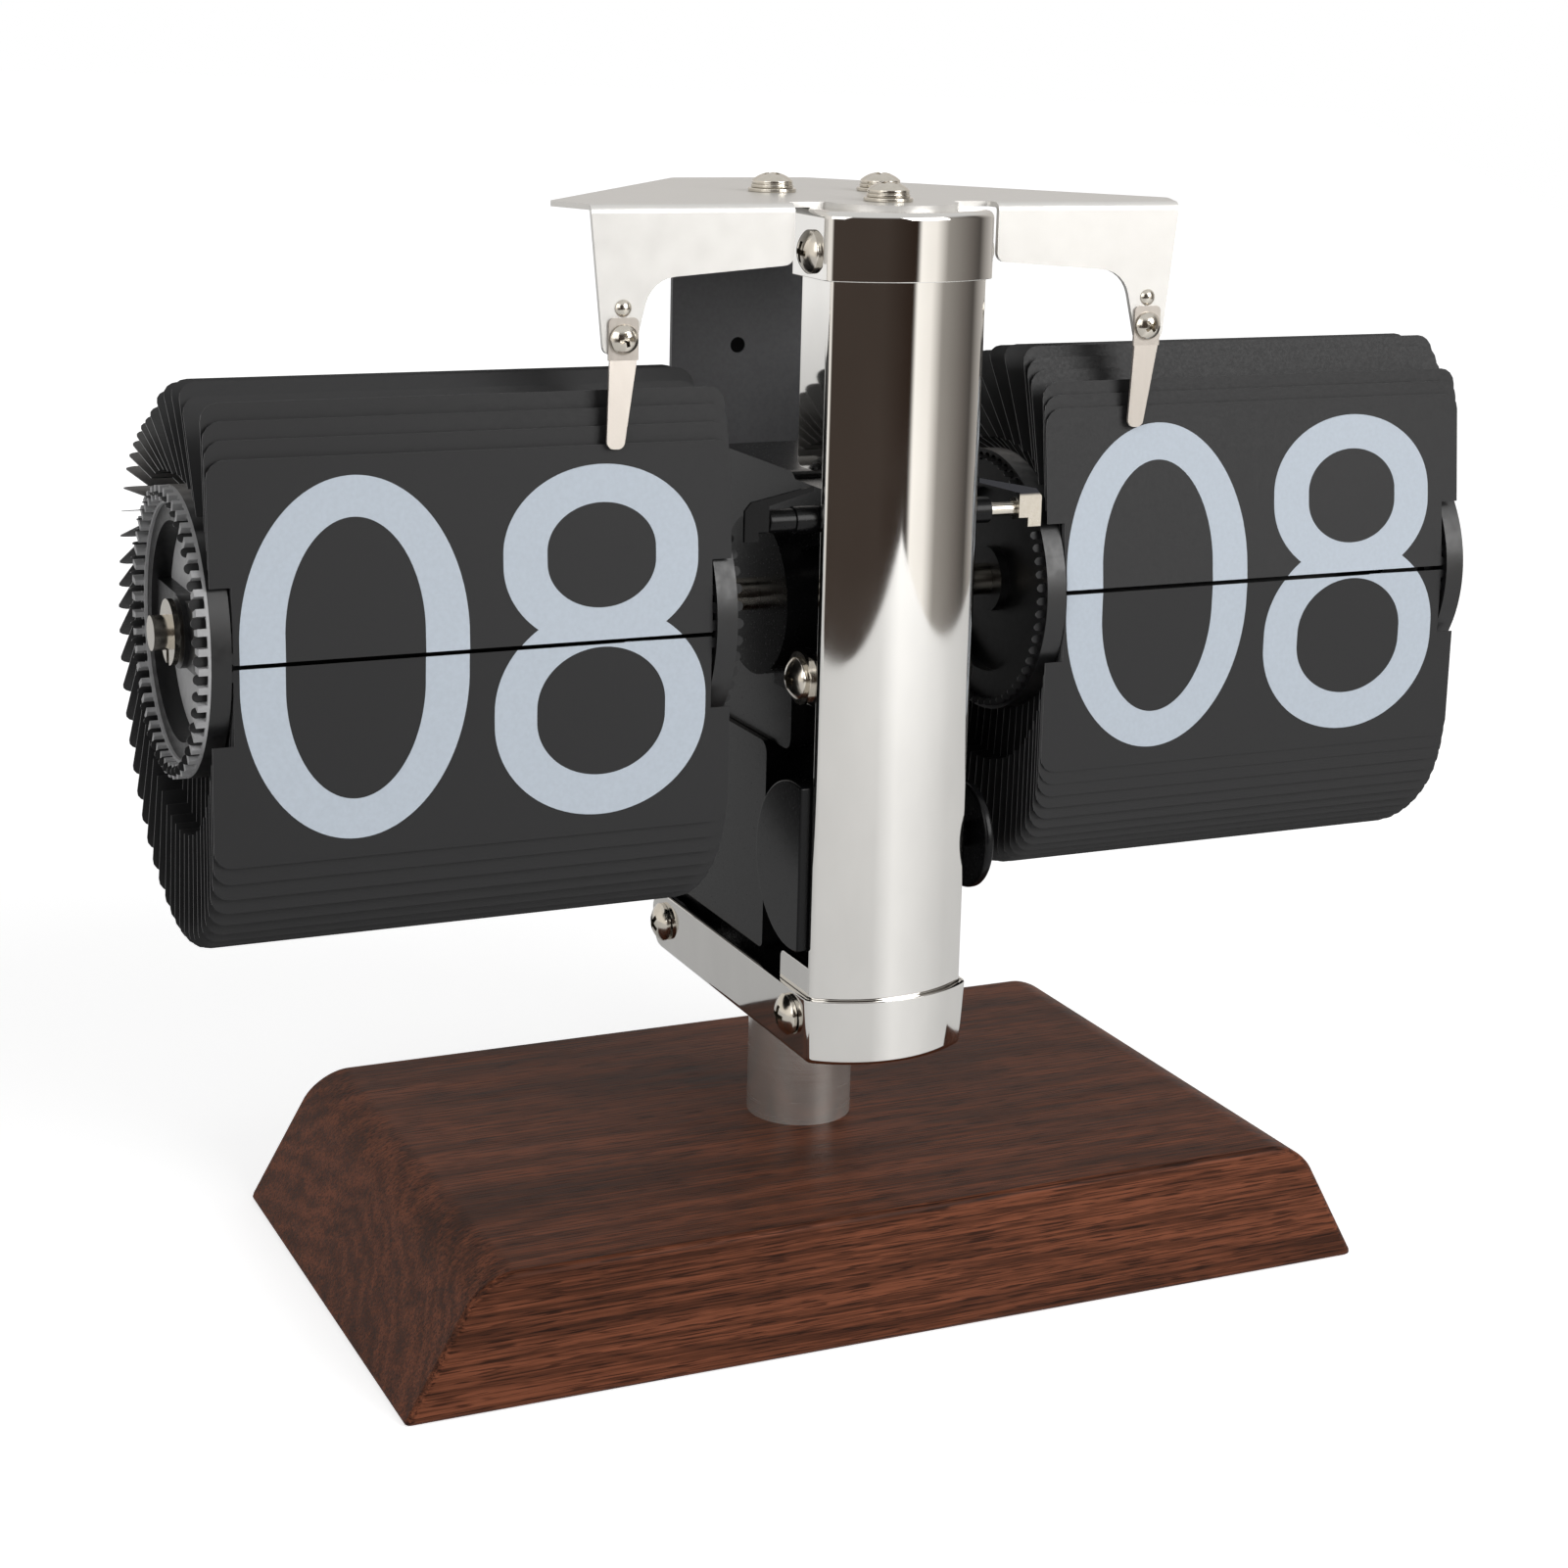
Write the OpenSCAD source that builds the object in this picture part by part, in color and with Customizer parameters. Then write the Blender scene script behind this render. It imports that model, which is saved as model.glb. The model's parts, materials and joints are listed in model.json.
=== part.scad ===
// Desk flip clock: two drums of split cards on one axle, held by a polished bowed column
// that stands on a steel post and a wooden base.
// The origin is the middle of the base's underside, X to the right, Y to the back, Z up.

/* [Base] */
// Length of the wooden base along its foot
base_len = 160.6; // [142:0.2:176]
// Length of its flat top between the sloping ends
base_top_len = 137; // [110:1:138]
// Depth from front to back
base_depth = 87; // [80:1:100]
// Height of the wood
base_h = 21; // [17:0.5:26]
// Rounding of the two end top edges
base_end_r = 9; // [4:0.5:12]
// Rounding of the front and back top edges
base_front_r = 1; // [0.6:0.2:4]
// Rounding along the foot
base_foot_r = 1.2; // [0.5:0.1:2]

/* [Post] */
// Diameter of the steel post
post_d = 16.8; // [14:0.2:20]
// Height of the post between base and tray
post_h = 19.5; // [16:0.5:30]
// Diameter of the bolt that comes up through the base
bolt_d = 6; // [5:0.5:8]

/* [Frame] */
// Half width of the bowed column
column_half = 12.7; // [12.4:0.1:13.2]
// How far the column's front bulges ahead of its edges
column_bow = 4.1; // [3.4:0.1:6]
// Rounding of the column's two edges
column_edge_r = 1.3; // [1.2:0.1:1.8]
// Sheet thickness of the column
column_t = 1; // [0.8:0.1:1.3]
// Distance of the column's edges in front of the post
column_fwd = 30; // [29.5:0.1:31]
// Height from the underside of the tray to the top of the top plate
frame_h = 128.7; // [126:0.5:136]
// Thickness of tray, cap and top plate
sheet_t = 0.8; // [0.6:0.1:1]
// Height of the tray's wall
tray_h = 10.3; // [9.5:0.1:12]
// Depth of the cap's wall
cap_h = 9.9; // [9:0.1:12]
// Distance of the black back plate's front face behind the post
back_y = 31.2; // [30:0.1:33]
// Width of the back plate
back_w = 23.4; // [22:0.2:24]
// Half span of the top plate's two wings
wing_x = 50.7; // [48:0.1:54]
// Length of the wings' arms below the top plate
arm_drop = 20.9; // [19:0.1:22]

/* [Drums] */
// Height of the axle above the underside of the tray
axle_rise = 68.5; // [67:0.5:71]
// Distance of the axle in front of the post
axle_fwd = 8.85; // [8:0.05:9.5]
// Diameter of the axle
axle_d = 5; // [4:0.1:6]
// Length of the axle from tip to tip
axle_len = 212; // [211:1:216]
// Cards on the hour drum
hour_count = 48; // [44:1:48]
// Cards on the minute drum
minute_count = 60; // [54:1:60]
// Radius of the circle of card pivots
pivot_r = 19.45; // [19:0.05:20]
// Outer radius of the wheel rims
rim_r = 20.6; // [20.5:0.1:21.5]
// Width of a card
card_w = 76; // [74:0.5:77]
// Height of half a display from the split to the edge
card_half = 28.1; // [27:0.1:29]
// Distance of the cards' inner edges from the middle plane
card_in = 26.2; // [25.8:0.1:27]
// Thickness of a card
card_t = 0.13; // [0.1:0.01:0.14]
// Gap between the upper and the lower front card
card_slit = 0.65; // [0.5:0.05:0.8]
// Rounding of a card's free corners
card_corner_r = 2.5; // [1:0.1:4]
// Width of the notch that clears the wheel rim
notch_w = 3; // [2.8:0.1:3.4]
// Length of that notch along the card
notch_l = 9.65; // [9:0.05:10.5]

/* [Hidden] */
$fn = 64;
eps = 0.01;
fit = 0.1;
running = 0.05;

tray_z = base_h + post_h;
tray_half = column_half + fit + sheet_t;
plate_z = tray_z + frame_h - sheet_t;
column_y = -column_fwd;
bow_r = (column_half * column_half + column_bow * column_bow) / (2 * column_bow);
bow_y = column_y - column_bow + bow_r;
edge_x = column_half - column_edge_r;
edge_y = bow_y - sqrt(pow(bow_r - column_edge_r, 2) - edge_x * edge_x);
lip_y = edge_y + 0.3;
axle_y = -axle_fwd;
axle_z = tray_z + axle_rise;

bolt_head_d = 2 * bolt_d;
bolt_head_h = 0.8 * bolt_d;
bolt_head_z = 2;
tap_r = bolt_d / 2 + running;
post_screw_d = 5;
post_screw_l = 8;

m3_r = 1.5;
m3_hole = m3_r + fit;
m3_head_r = 2.9;
m3_head_h = 1.7;
washer_t = 0.6;
tab_reach = 11;
tab_t = column_t;
foot_tab_z = [tray_z + sheet_t + fit, tray_z + 12.4];
foot_screw = [column_y + 5.6, tray_z + 6.3];
rear_screw = [26, tray_z + 5.6];
mid_screw = [column_y + 5.7, tray_z + 58.7];
mid_tab_r = 3.6;
cap_screw = [column_y + 4.5, plate_z - 6.1];
tray_back = back_y;

fold_y = column_y + 4.1;
fold_r = 1.2;
wing_in = tray_half + 2.9;
wing_out = wing_x - 3.2;
tongue_r = column_half - 2.2;
tongue_y = column_y - column_bow + 1.8 + tongue_r;
tongue_screw_y = column_y + 7.7;
flange_screws = [9.1, -1.2];
arm_z = plate_z - arm_drop + sheet_t;
arm_in = wing_x - 9.7;
arm_w = 4.5;
back_t = 0.9;

clip_t = 0.4;
clip_x = arm_in + arm_w / 2 - 0.6;
clip_plate = [arm_z - 0.8, arm_z + 5.2];
clip_screw_z = arm_z + 2.2;
leaf_l = 12.4;
leaf_skew = 1.65;
hour_clip_lean = 7;
minute_clip_lean = 2.5;

case_x = 10.5;
case_y = [-16, 20];
case_z = [tray_z + 45.2, tray_z + 88];
boss_r = 12.3;
boss_x = 14;
lug_z = [tray_z + 78.5, tray_z + 87];
rod_y = column_y + 3.5;
rod_z = tray_z + 83;
rod_r = 2;
rod_end = 16;
pin_r = 1.05;
pin_end = 23.4;
box_x = back_w / 2 - 0.1;
box_z = [tray_z + 11.9, tray_z + 45.1];
box_foot_z = tray_z + 5.2;
motor_y = column_y + 7.5;
motor_z = tray_z + 31.4;
motor_r = 12.5;
motor_x = 12.6;
motor_front = lip_y + 0.5;
setting_r = 10.2;
setting_x = [motor_x + 0.5, motor_x + 2.6];
box_y = [motor_y + motor_r + 0.3, back_y];

bore_r = axle_d / 2 + running;
band_x = card_in - 0.6;
band_w = notch_w + 0.2;
outer_x = card_in + card_w;
crown_w = 1.7;
crown_base = 0.4;
rim_in = 15.6;
hub_r = 5.2;
arm_h = 9.5;
hour_tip = 2.5;
minute_tip = 0.1;
cover_w = 0.7;
wall_x = outer_x - notch_w + 0.4;
rim_x = outer_x + 0.2;
inner_reach = 1.3;
hub_gap = 0.15;

hour_phase = -3.6;
minute_phase = 3.6;
upper_hours = floor(hour_count / 4);
rear_hours = floor(hour_count * 0.7);
upper_minutes = floor(minute_count / 4);
rear_minutes = floor(minute_count * 0.7);
front_set = 0.2;
tab_play = 0.1;
hour_lean = [[0, 3.5], [8, 5], [23, 6], [30, 27], [38, 29], [62, 57], [70, 68], [92, 80], [115, 91],
    [145, 113], [160, 119], [175, 128], [190, 138], [250, 172], [300, 178.5], [330, 180], [361, 180]];
minute_lean = [[0, 6], [19, 7], [24, 14], [37, 15.5], [43, 28], [62, 55], [70, 67],
    [92, 80], [115, 91], [145, 113], [160, 119], [175, 128], [190, 138], [250, 172], [300, 178.5],
    [330, 180], [361, 180]];

// Outline with every corner rounded by its own radius
function unit(v) = v / norm(v);
function turn(a, b) = (b - a + 900) % 360 - 180;
function arc_at(c, r, a, d, n) = [for (k = [0:n]) c + r * [cos(a + d * k / n), sin(a + d * k / n)]];
function bend(a, b, c, r, n) =
    let (u = unit(a - b), v = unit(c - b), half = acos(u * v) / 2)
    let (m = b + unit(u + v) * r / sin(half))
    let (p = b + u * r / tan(half) - m, q = b + v * r / tan(half) - m)
    let (from = atan2(p[1], p[0]), to = atan2(q[1], q[0]))
    arc_at(m, r, from, turn(from, to), n);
function soft(pts, radii, n = 6) =
    let (last = len(pts))
    [for (i = [0:last - 1])
        each (radii[i] > 0
            ? bend(pts[(i + last - 1) % last], pts[i], pts[(i + 1) % last], radii[i], n)
            : [pts[i]])];

// Solid of a Y-Z outline between two X positions
module along_x(from, to) {
    translate([from, 0, 0]) rotate([90, 0, 90]) linear_extrude(to - from) children();
}

// Solid of an X-Z outline between two Y positions
module along_y(from, to) {
    translate([0, to, 0]) rotate([90, 0, 0]) linear_extrude(to - from) children();
}

module both_sides() {
    children();
    mirror([1, 0, 0]) children();
}

module at_axle() {
    translate([0, axle_y, axle_z]) children();
}

// Places of the two screws that join the top plate and the back plate
module at_flange_screws(z) {
    both_sides() translate([flange_screws[0], flange_screws[1], z]) children();
}

// Round bar along X
module bar_x(from, to, r) {
    translate([from, 0, 0]) rotate([0, 90, 0]) cylinder(r = r, h = to - from);
}

// Domed cross-recess screw, head up, seat at the origin
module screw(head_r, head_h, shank_r, shank_l) {
    dome = (head_r * head_r + head_h * head_h) / (2 * head_h);
    difference() {
        intersection() {
            translate([0, 0, head_h - dome]) sphere(r = dome);
            cylinder(r = head_r, h = head_h + 1);
        }
        for (a = [0, 90]) {
            rotate([0, 0, a]) translate([-head_r * 0.5, -head_r * 0.11, head_h * 0.45])
                cube([head_r, head_r * 0.22, head_h]);
        }
    }
    translate([0, 0, -shank_l]) cylinder(r = shank_r, h = shank_l + eps);
}

module wood_base() {
    half = base_len / 2;
    top = base_top_len / 2;
    deep = base_depth / 2;
    foot = base_foot_r;
    color("#5a3a2c") difference() {
        intersection() {
            along_y(-deep, deep) polygon(soft(
                [[-half, 0], [half, 0], [top, base_h], [-top, base_h]],
                [foot, foot, base_end_r, base_end_r], 14));
            along_x(-half, half) polygon(soft(
                [[-deep, 0], [deep, 0], [deep, base_h], [-deep, base_h]],
                [foot, foot, base_front_r, base_front_r], 12));
        }
        translate([0, 0, -eps]) cylinder(r = bolt_head_d / 2 + 1, h = bolt_head_z + bolt_head_h + eps);
        cylinder(r = tap_r + 0.2, h = base_h + 1);
    }
}

module base_bolt() {
    color("#9a9a98") difference() {
        union() {
            translate([0, 0, bolt_head_z]) cylinder(d = bolt_head_d, h = bolt_head_h);
            translate([0, 0, bolt_head_z]) cylinder(d = bolt_d, h = base_h + post_h / 2 - 2 * bolt_head_z);
        }
        translate([0, 0, bolt_head_z - eps]) cylinder(d = bolt_d, h = bolt_head_h * 0.6, $fn = 6);
    }
}

module post() {
    color("#b4b3b0") difference() {
        translate([0, 0, base_h]) cylinder(d = post_d, h = post_h);
        translate([0, 0, base_h - eps]) cylinder(r = tap_r, h = post_h / 2);
        translate([0, 0, tray_z - post_screw_l])
            cylinder(d = post_screw_d + 2 * running, h = post_screw_l + 1);
    }
}

module post_screw() {
    color("#b9b8b4") translate([0, 0, tray_z + sheet_t])
        screw(post_screw_d * 0.9, 2.6, post_screw_d / 2, post_screw_l + sheet_t - 1);
}

// Plan of the bowed front grown outwards by a wall, with straight sides to the back
module front_plan(grow, back) {
    half = column_half + grow;
    intersection() {
        union() {
            translate([0, bow_y]) intersection() {
                circle(bow_r + grow, $fn = 200);
                polygon([[0, 0], 2 * [-edge_x, edge_y - bow_y], 2 * [edge_x, edge_y - bow_y]]);
            }
            for (side = [-1, 1]) {
                translate([side * edge_x, edge_y]) circle(column_edge_r + grow, $fn = 48);
            }
            translate([-half, edge_y]) square([2 * half, back - edge_y]);
        }
        translate([-half, bow_y - 2 * bow_r]) square([2 * half, back - bow_y + 2 * bow_r]);
    }
}

// Tray with a bowed front, its back corners rounded in the side view
module bowed_tray(h, back, end_r) {
    intersection() {
        difference() {
            linear_extrude(h) front_plan(fit + sheet_t, back);
            translate([0, 0, sheet_t]) linear_extrude(h) front_plan(fit, back + 1);
        }
        along_x(-tray_half - 1, tray_half + 1) polygon(soft(
            [[bow_y - bow_r - 3, -1], [back, -1], [back, h], [bow_y - bow_r - 3, h]], [0, 0, end_r, 0]));
    }
}

module tray() {
    color("#c9c8c4") difference() {
        translate([0, 0, tray_z]) bowed_tray(tray_h, tray_back, 4);
        for (s = [foot_screw, rear_screw]) {
            translate([0, s[0], s[1]]) bar_x(-tray_half - 1, tray_half + 1, m3_hole);
        }
        translate([0, 0, tray_z - 1]) cylinder(d = post_screw_d + 2 * fit, h = sheet_t + 2);
    }
}

module column_tab(z, r) {
    both_sides() along_x(column_half - tab_t, column_half) polygon(soft(
        [[edge_y, z[0]], [column_y + tab_reach, z[0]], [column_y + tab_reach, z[1]], [edge_y, z[1]]],
        [0, r, r, 0]));
}

module column() {
    from = foot_tab_z[0];
    to = plate_z - sheet_t - fit;
    color("#cfcecb") difference() {
        union() {
            translate([0, 0, from]) linear_extrude(to - from) difference() {
                front_plan(0, lip_y);
                front_plan(-column_t, lip_y + 1);
            }
            column_tab(foot_tab_z, 2.5);
            column_tab([plate_z - 12.4, to], 2.5);
            both_sides() along_x(column_half - tab_t, column_half) {
                translate([edge_y, mid_screw[1] - mid_tab_r])
                    square([mid_screw[0] - edge_y, 2 * mid_tab_r]);
                translate(mid_screw) circle(mid_tab_r);
            }
        }
        for (s = [foot_screw, mid_screw, cap_screw]) {
            translate([0, s[0], s[1]]) bar_x(-column_half - 1, column_half + 1, m3_hole);
        }
    }
}

module cap() {
    color("#cfcecb") difference() {
        translate([0, 0, plate_z]) mirror([0, 0, 1]) bowed_tray(cap_h, column_y + tab_reach, 2.5);
        translate([0, cap_screw[0], cap_screw[1]]) bar_x(-tray_half - 1, tray_half + 1, m3_hole);
        translate([0, tongue_screw_y, plate_z - 2]) cylinder(r = m3_hole, h = 3);
    }
}

// Right half of the top plate in plan, with the relief beside the cap
module plate_plan() {
    top_y = fold_y + fold_r;
    polygon(soft(
        [[0, back_y + back_t], [back_w / 2, back_y + back_t], [wing_x, fold_y + 8.5], [wing_out, top_y],
        [wing_in, top_y], [wing_in, top_y + 2], [0, top_y + 2]],
        [0, 2, 1.5, 0, 0, 0.8, 0]));
}

// Outline of a wing's front flange and its arm
module flange_face() {
    top = plate_z + sheet_t - fold_r;
    out = arm_in + arm_w;
    polygon(soft(
        [[wing_in, top], [wing_in, top - 7.5], [arm_in - 2.6, top - 9.2], [arm_in, arm_z], [out, arm_z],
        [wing_out, top]],
        [0, 1.5, 5, 1.2, 1.2, 0]));
}

module top_plate() {
    color("#bdbdba") difference() {
        union() {
            both_sides() translate([0, 0, plate_z]) linear_extrude(sheet_t) plate_plan();
            translate([0, tongue_y, plate_z]) cylinder(r = tongue_r, h = sheet_t);
            both_sides() along_y(fold_y, fold_y + sheet_t) flange_face();
            both_sides() translate([wing_in, fold_y + fold_r, plate_z + sheet_t - fold_r])
                rotate([90, 0, 90]) rotate([0, 0, 90])
                linear_extrude(wing_out - wing_in) intersection() {
                    difference() {
                        circle(fold_r);
                        circle(fold_r - sheet_t);
                    }
                    square(fold_r);
                }
        }
        translate([0, tongue_screw_y, plate_z - 1]) cylinder(r = m3_hole, h = 3);
        at_flange_screws(plate_z - 1) cylinder(r = m3_hole, h = 3);
        both_sides() translate([clip_x, 0, clip_screw_z]) rotate([90, 0, 0])
            cylinder(r = 0.9, h = -fold_y + 1);
        both_sides() translate([clip_x, 0, clip_screw_z + 4.3]) rotate([90, 0, 0])
            cylinder(r = 0.7, h = -fold_y + 1);
    }
}

module back_plate() {
    half = back_w / 2;
    foot = tray_z + sheet_t + fit;
    color("#1c1c1d") difference() {
        union() {
            along_y(back_y, back_y + back_t) polygon(soft(
                [[-half, foot], [half, foot], [half, plate_z], [-half, plate_z]], [1, 1, 0, 0]));
            translate([-half, flange_screws[1] - 5, plate_z - back_t])
                cube([back_w, back_y - flange_screws[1] + 5 + eps, back_t]);
            both_sides() along_x(half - back_t, half) polygon(soft(
                [[rear_screw[0] - 4, foot], [back_y + eps, foot], [back_y + eps, rear_screw[1] + 3.5],
                [rear_screw[0] - 4, rear_screw[1] + 3.5]], [1.5, 0, 0, 1.5]));
        }
        translate([0, back_y - 1, plate_z - 26.4]) rotate([-90, 0, 0])
            cylinder(r = 1.3, h = 1 + back_t / 2);
        at_flange_screws(plate_z - 3) cylinder(r = m3_hole, h = 4);
        translate([0, rear_screw[0], rear_screw[1]]) bar_x(-half - 1, half + 1, m3_hole);
    }
}

// Leaf clip that holds the front upper card until its turn comes
module clip(lean, skew) {
    face = fold_y - clip_t;
    half = arm_w / 2;
    difference() {
        along_y(face, fold_y) translate([clip_x, 0]) polygon(soft(
            [[-half, clip_plate[0]], [half, clip_plate[0]], [half, clip_plate[1]], [-half, clip_plate[1]]],
            [0, 0, 0.8, 0.8]));
        translate([clip_x, 0, clip_screw_z]) rotate([90, 0, 0]) cylinder(r = 0.9, h = -fold_y + 1);
    }
    translate([clip_x, face, clip_plate[0]]) rotate([-lean, 0, 0]) along_y(0, clip_t)
        polygon(soft(
            [[-half + 0.2, 0.15], [skew - 1.3, -leaf_l], [skew + 1.3, -leaf_l], [half - 0.2, 0.15]],
            [0, 1.1, 1.1, 0]));
}

module hour_clip() {
    color("#c4c4c1") mirror([1, 0, 0]) clip(hour_clip_lean, leaf_skew);
}

module minute_clip() {
    color("#c4c4c1") clip(minute_clip_lean, -leaf_skew);
}

module plate_screws() {
    color("#b5b4af") {
        translate([0, tongue_screw_y, plate_z + sheet_t]) screw(3.75, 2.1, m3_r, 5);
        at_flange_screws(plate_z + sheet_t) screw(3.75, 2.1, m3_r, 5);
    }
}

module side_screw(x, s, shank_l) {
    both_sides() translate([x, s[0], s[1]]) rotate([0, 90, 0]) screw(m3_head_r, m3_head_h, m3_r, shank_l);
}

module tray_screws() {
    color("#b5b4af") {
        side_screw(tray_half, foot_screw, 4);
        side_screw(tray_half, rear_screw, 3);
    }
}

module cap_screws() {
    color("#b5b4af") side_screw(tray_half, cap_screw, 4);
}

module clip_screws() {
    color("#b5b4af") both_sides() translate([clip_x, fold_y - clip_t, clip_screw_z]) rotate([90, 0, 0])
        screw(1.7, 0.9, 0.8, 2);
}

module side_screws() {
    color("#b5b4af") side_screw(column_half + washer_t, mid_screw, 4);
}

module side_washers() {
    color("#b5b4af") translate([0, mid_screw[0], mid_screw[1]]) both_sides() difference() {
        bar_x(column_half, column_half + washer_t, mid_tab_r + 0.4);
        bar_x(column_half - 1, column_half + 2, m3_hole);
    }
}

// Closed case of the gear train: bearing bosses at the sides, ears and a rod lug in front
module gear_case() {
    ear_x = column_half - tab_t;
    step_y = case_y[0] + 4;
    lug_y = rod_y - 2.4;
    color("#141415") difference() {
        union() {
            along_x(-case_x, case_x) polygon(soft(
                [[case_y[0], case_z[0]], [case_y[1], case_z[0]],
                [case_y[1], case_z[1]], [case_y[0], case_z[1]]],
                [2, 3, 6, 3]));
            at_axle() bar_x(-boss_x, boss_x, boss_r);
            along_x(-ear_x, ear_x) {
                translate([mid_screw[0], mid_screw[1] - mid_tab_r])
                    square([step_y - mid_screw[0], 2 * mid_tab_r]);
                translate(mid_screw) circle(mid_tab_r);
            }
            along_x(-case_x, case_x) polygon(soft(
                [[lug_y, lug_z[0] + 2], [step_y, lug_z[0] - 4], [step_y, lug_z[1]], [lug_y, lug_z[1]]],
                [1.5, 0, 0, 2]));
        }
        at_axle() bar_x(-boss_x - 1, boss_x + 1, axle_d / 2 + running);
        translate([0, mid_screw[0], mid_screw[1]]) bar_x(-ear_x - 1, ear_x + 1, m3_hole);
        translate([0, rod_y, rod_z]) bar_x(-case_x - 1, case_x + 1, pin_r + running);
    }
}

module battery_box() {
    side = box_x - 1.9;
    color("#141415") {
        along_x(-box_x, box_x) polygon(soft(
            [[box_y[0], box_z[0]], [box_y[1], box_z[0]], [box_y[1], box_z[1]], [box_y[0], box_z[1]]],
            [1.2, 0, 0, 2]));
        along_x(-side, side) translate([box_y[0] + 3, box_foot_z])
            square([box_y[1] - box_y[0] - 3, box_z[0] - box_foot_z + 1]);
    }
}

module motor_case() {
    color("#161617") difference() {
        intersection() {
            translate([0, motor_y, motor_z]) {
                bar_x(-motor_x, motor_x, motor_r);
                translate([-motor_x, 0, 0]) rotate([0, -90, 0])
                    cylinder(r1 = motor_r, r2 = motor_r - 1, h = 1.8);
            }
            translate([-30, motor_front, motor_z - 30]) cube([60, 60, 60]);
        }
        translate([0, motor_y, motor_z]) bar_x(2, motor_x + 1, 2 + running);
        translate([-motor_x - 2, motor_front + 1.4, motor_z - 3.4]) cube([1.2, 1.2, 6.4]);
    }
}

// Thumb wheel beside the column that sets the time
module setting_wheel() {
    color("#161617") translate([0, motor_y, motor_z]) {
        bar_x(setting_x[0], setting_x[1] - 0.6, setting_r);
        translate([setting_x[1] - 0.6, 0, 0]) rotate([0, 90, 0])
            cylinder(r1 = setting_r, r2 = setting_r - 0.6, h = 0.6);
        bar_x(3, setting_x[0] + 0.1, 2);
    }
}

module axle() {
    color("#c2bcb2") at_axle() bar_x(-axle_len / 2, axle_len / 2, axle_d / 2);
}

module axle_rings() {
    from = outer_x + hub_gap + 0.5;
    color("#c8c4bc") at_axle() both_sides() difference() {
        bar_x(from, from + 0.8, axle_d / 2 + 2.2);
        bar_x(from - 1, from + 2, axle_d / 2 + 0.02);
        translate([from - 1, -0.8, -axle_d]) cube([3, 1.6, axle_d]);
    }
}

module lever_rods() {
    color("#141415") translate([0, rod_y, rod_z]) both_sides() difference() {
        bar_x(case_x, rod_end, rod_r);
        bar_x(case_x - 1, rod_end + 1, pin_r + running);
    }
}

module lever_pins() {
    color("#c9c8c4") translate([0, rod_y, rod_z]) both_sides() bar_x(case_x - 6, pin_end, pin_r);
}

// Spring lever on the end of its pin: a hub, a tab that steadies the drum and a thin tail
module lever() {
    blade = [-1.9, -1.3];
    hub = [20.6, 22.2];
    tab = 24.4;
    tail = 13.6;
    translate([0, rod_y, rod_z]) {
        difference() {
            bar_x(hub[0], hub[1], 1.7);
            bar_x(hub[0] - 1, hub[1] + 1, pin_r + running);
        }
        along_y(blade[0], blade[1]) polygon([[hub[0], -1.2], [hub[1], -1.2], [hub[1], -2.6], [tab, -2.6],
            [tab, 2], [tab - 1, 3.2], [tail, 5.2], [tail, 4.5], [hub[0], 2.6]]);
    }
}

module hour_lever() {
    color("#141415") mirror([1, 0, 0]) lever();
}

module minute_lever() {
    color("#d2d1cd") lever();
}

// Sizes of a drum that follow from its number of cards
function pitch(count) = 2 * pivot_r * sin(180 / count);
function overhang(count) = pitch(count) / 2 - card_slit / 2;
function reach(count) = card_half - pitch(count) / 2;
function tab_half(count) = 0.29 * pitch(count);
function pivot(angle) = [axle_y - pivot_r * cos(angle), axle_z + pivot_r * sin(angle)];
function card_angle(i, phase, step) = phase + step * (i + 0.5);

// Card in its own plane, pivot line along X at zero, free edge at the top
module card_outline(count, tip) {
    low = -overhang(count);
    top = reach(count);
    half = tab_half(count);
    far = card_w - notch_w;
    near_tip = -inner_reach - 0.6;
    far_tip = card_w + tip;
    polygon(soft(
        [[notch_w, low], [far, low], [far, -half], [far_tip, -half], [far_tip, half], [far, half],
        [far, notch_l], [card_w, notch_l], [card_w, top], [0, top], [0, notch_l], [notch_w, notch_l],
        [notch_w, half], [near_tip, half], [near_tip, -half], [notch_w, -half]],
        [0, 0, 0, 0.98 * half, 0.98 * half, 0, 0, 0, card_corner_r, card_corner_r, 0, 0, 0,
        0.98 * half, 0.98 * half, 0], 4));
}

module card(angle, lean, count, set, tip) {
    p = pivot(angle);
    translate([card_in, p[0], p[1]]) rotate([90 - lean, 0, 0])
        translate([0, 0, -card_t / 2 + set]) linear_extrude(card_t) card_outline(count, tip);
}

module cards(count, phase, leans, tip, from, to) {
    step = 360 / count;
    for (i = [from:to]) {
        angle = card_angle(i, phase, step);
        card(angle, lookup(angle, leans), count, i == 0 ? front_set : 0, tip);
    }
}

module leaf(count, phase, tip) {
    card(card_angle(count - 1, phase, 360 / count), 180, count, -front_set, tip);
}

// Ring of a wheel with a round hole for every card tab
module holed_ring(inner, count, phase) {
    difference() {
        circle(rim_r);
        circle(inner);
        for (i = [0:count - 1]) {
            a = card_angle(i, phase, 360 / count);
            translate([-pivot_r * cos(a), pivot_r * sin(a)]) circle(tab_half(count) + tab_play, $fn = 24);
        }
    }
}

// Ring cut through at every card tab
module toothed_ring(inner, count, phase) {
    half = tab_half(count) + tab_play;
    difference() {
        circle(rim_r);
        circle(inner);
        for (i = [0:count - 1]) {
            rotate(180 - card_angle(i, phase, 360 / count)) translate([inner - 1, -half])
                square([rim_r - inner + 2, 2 * half]);
        }
    }
}

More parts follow.
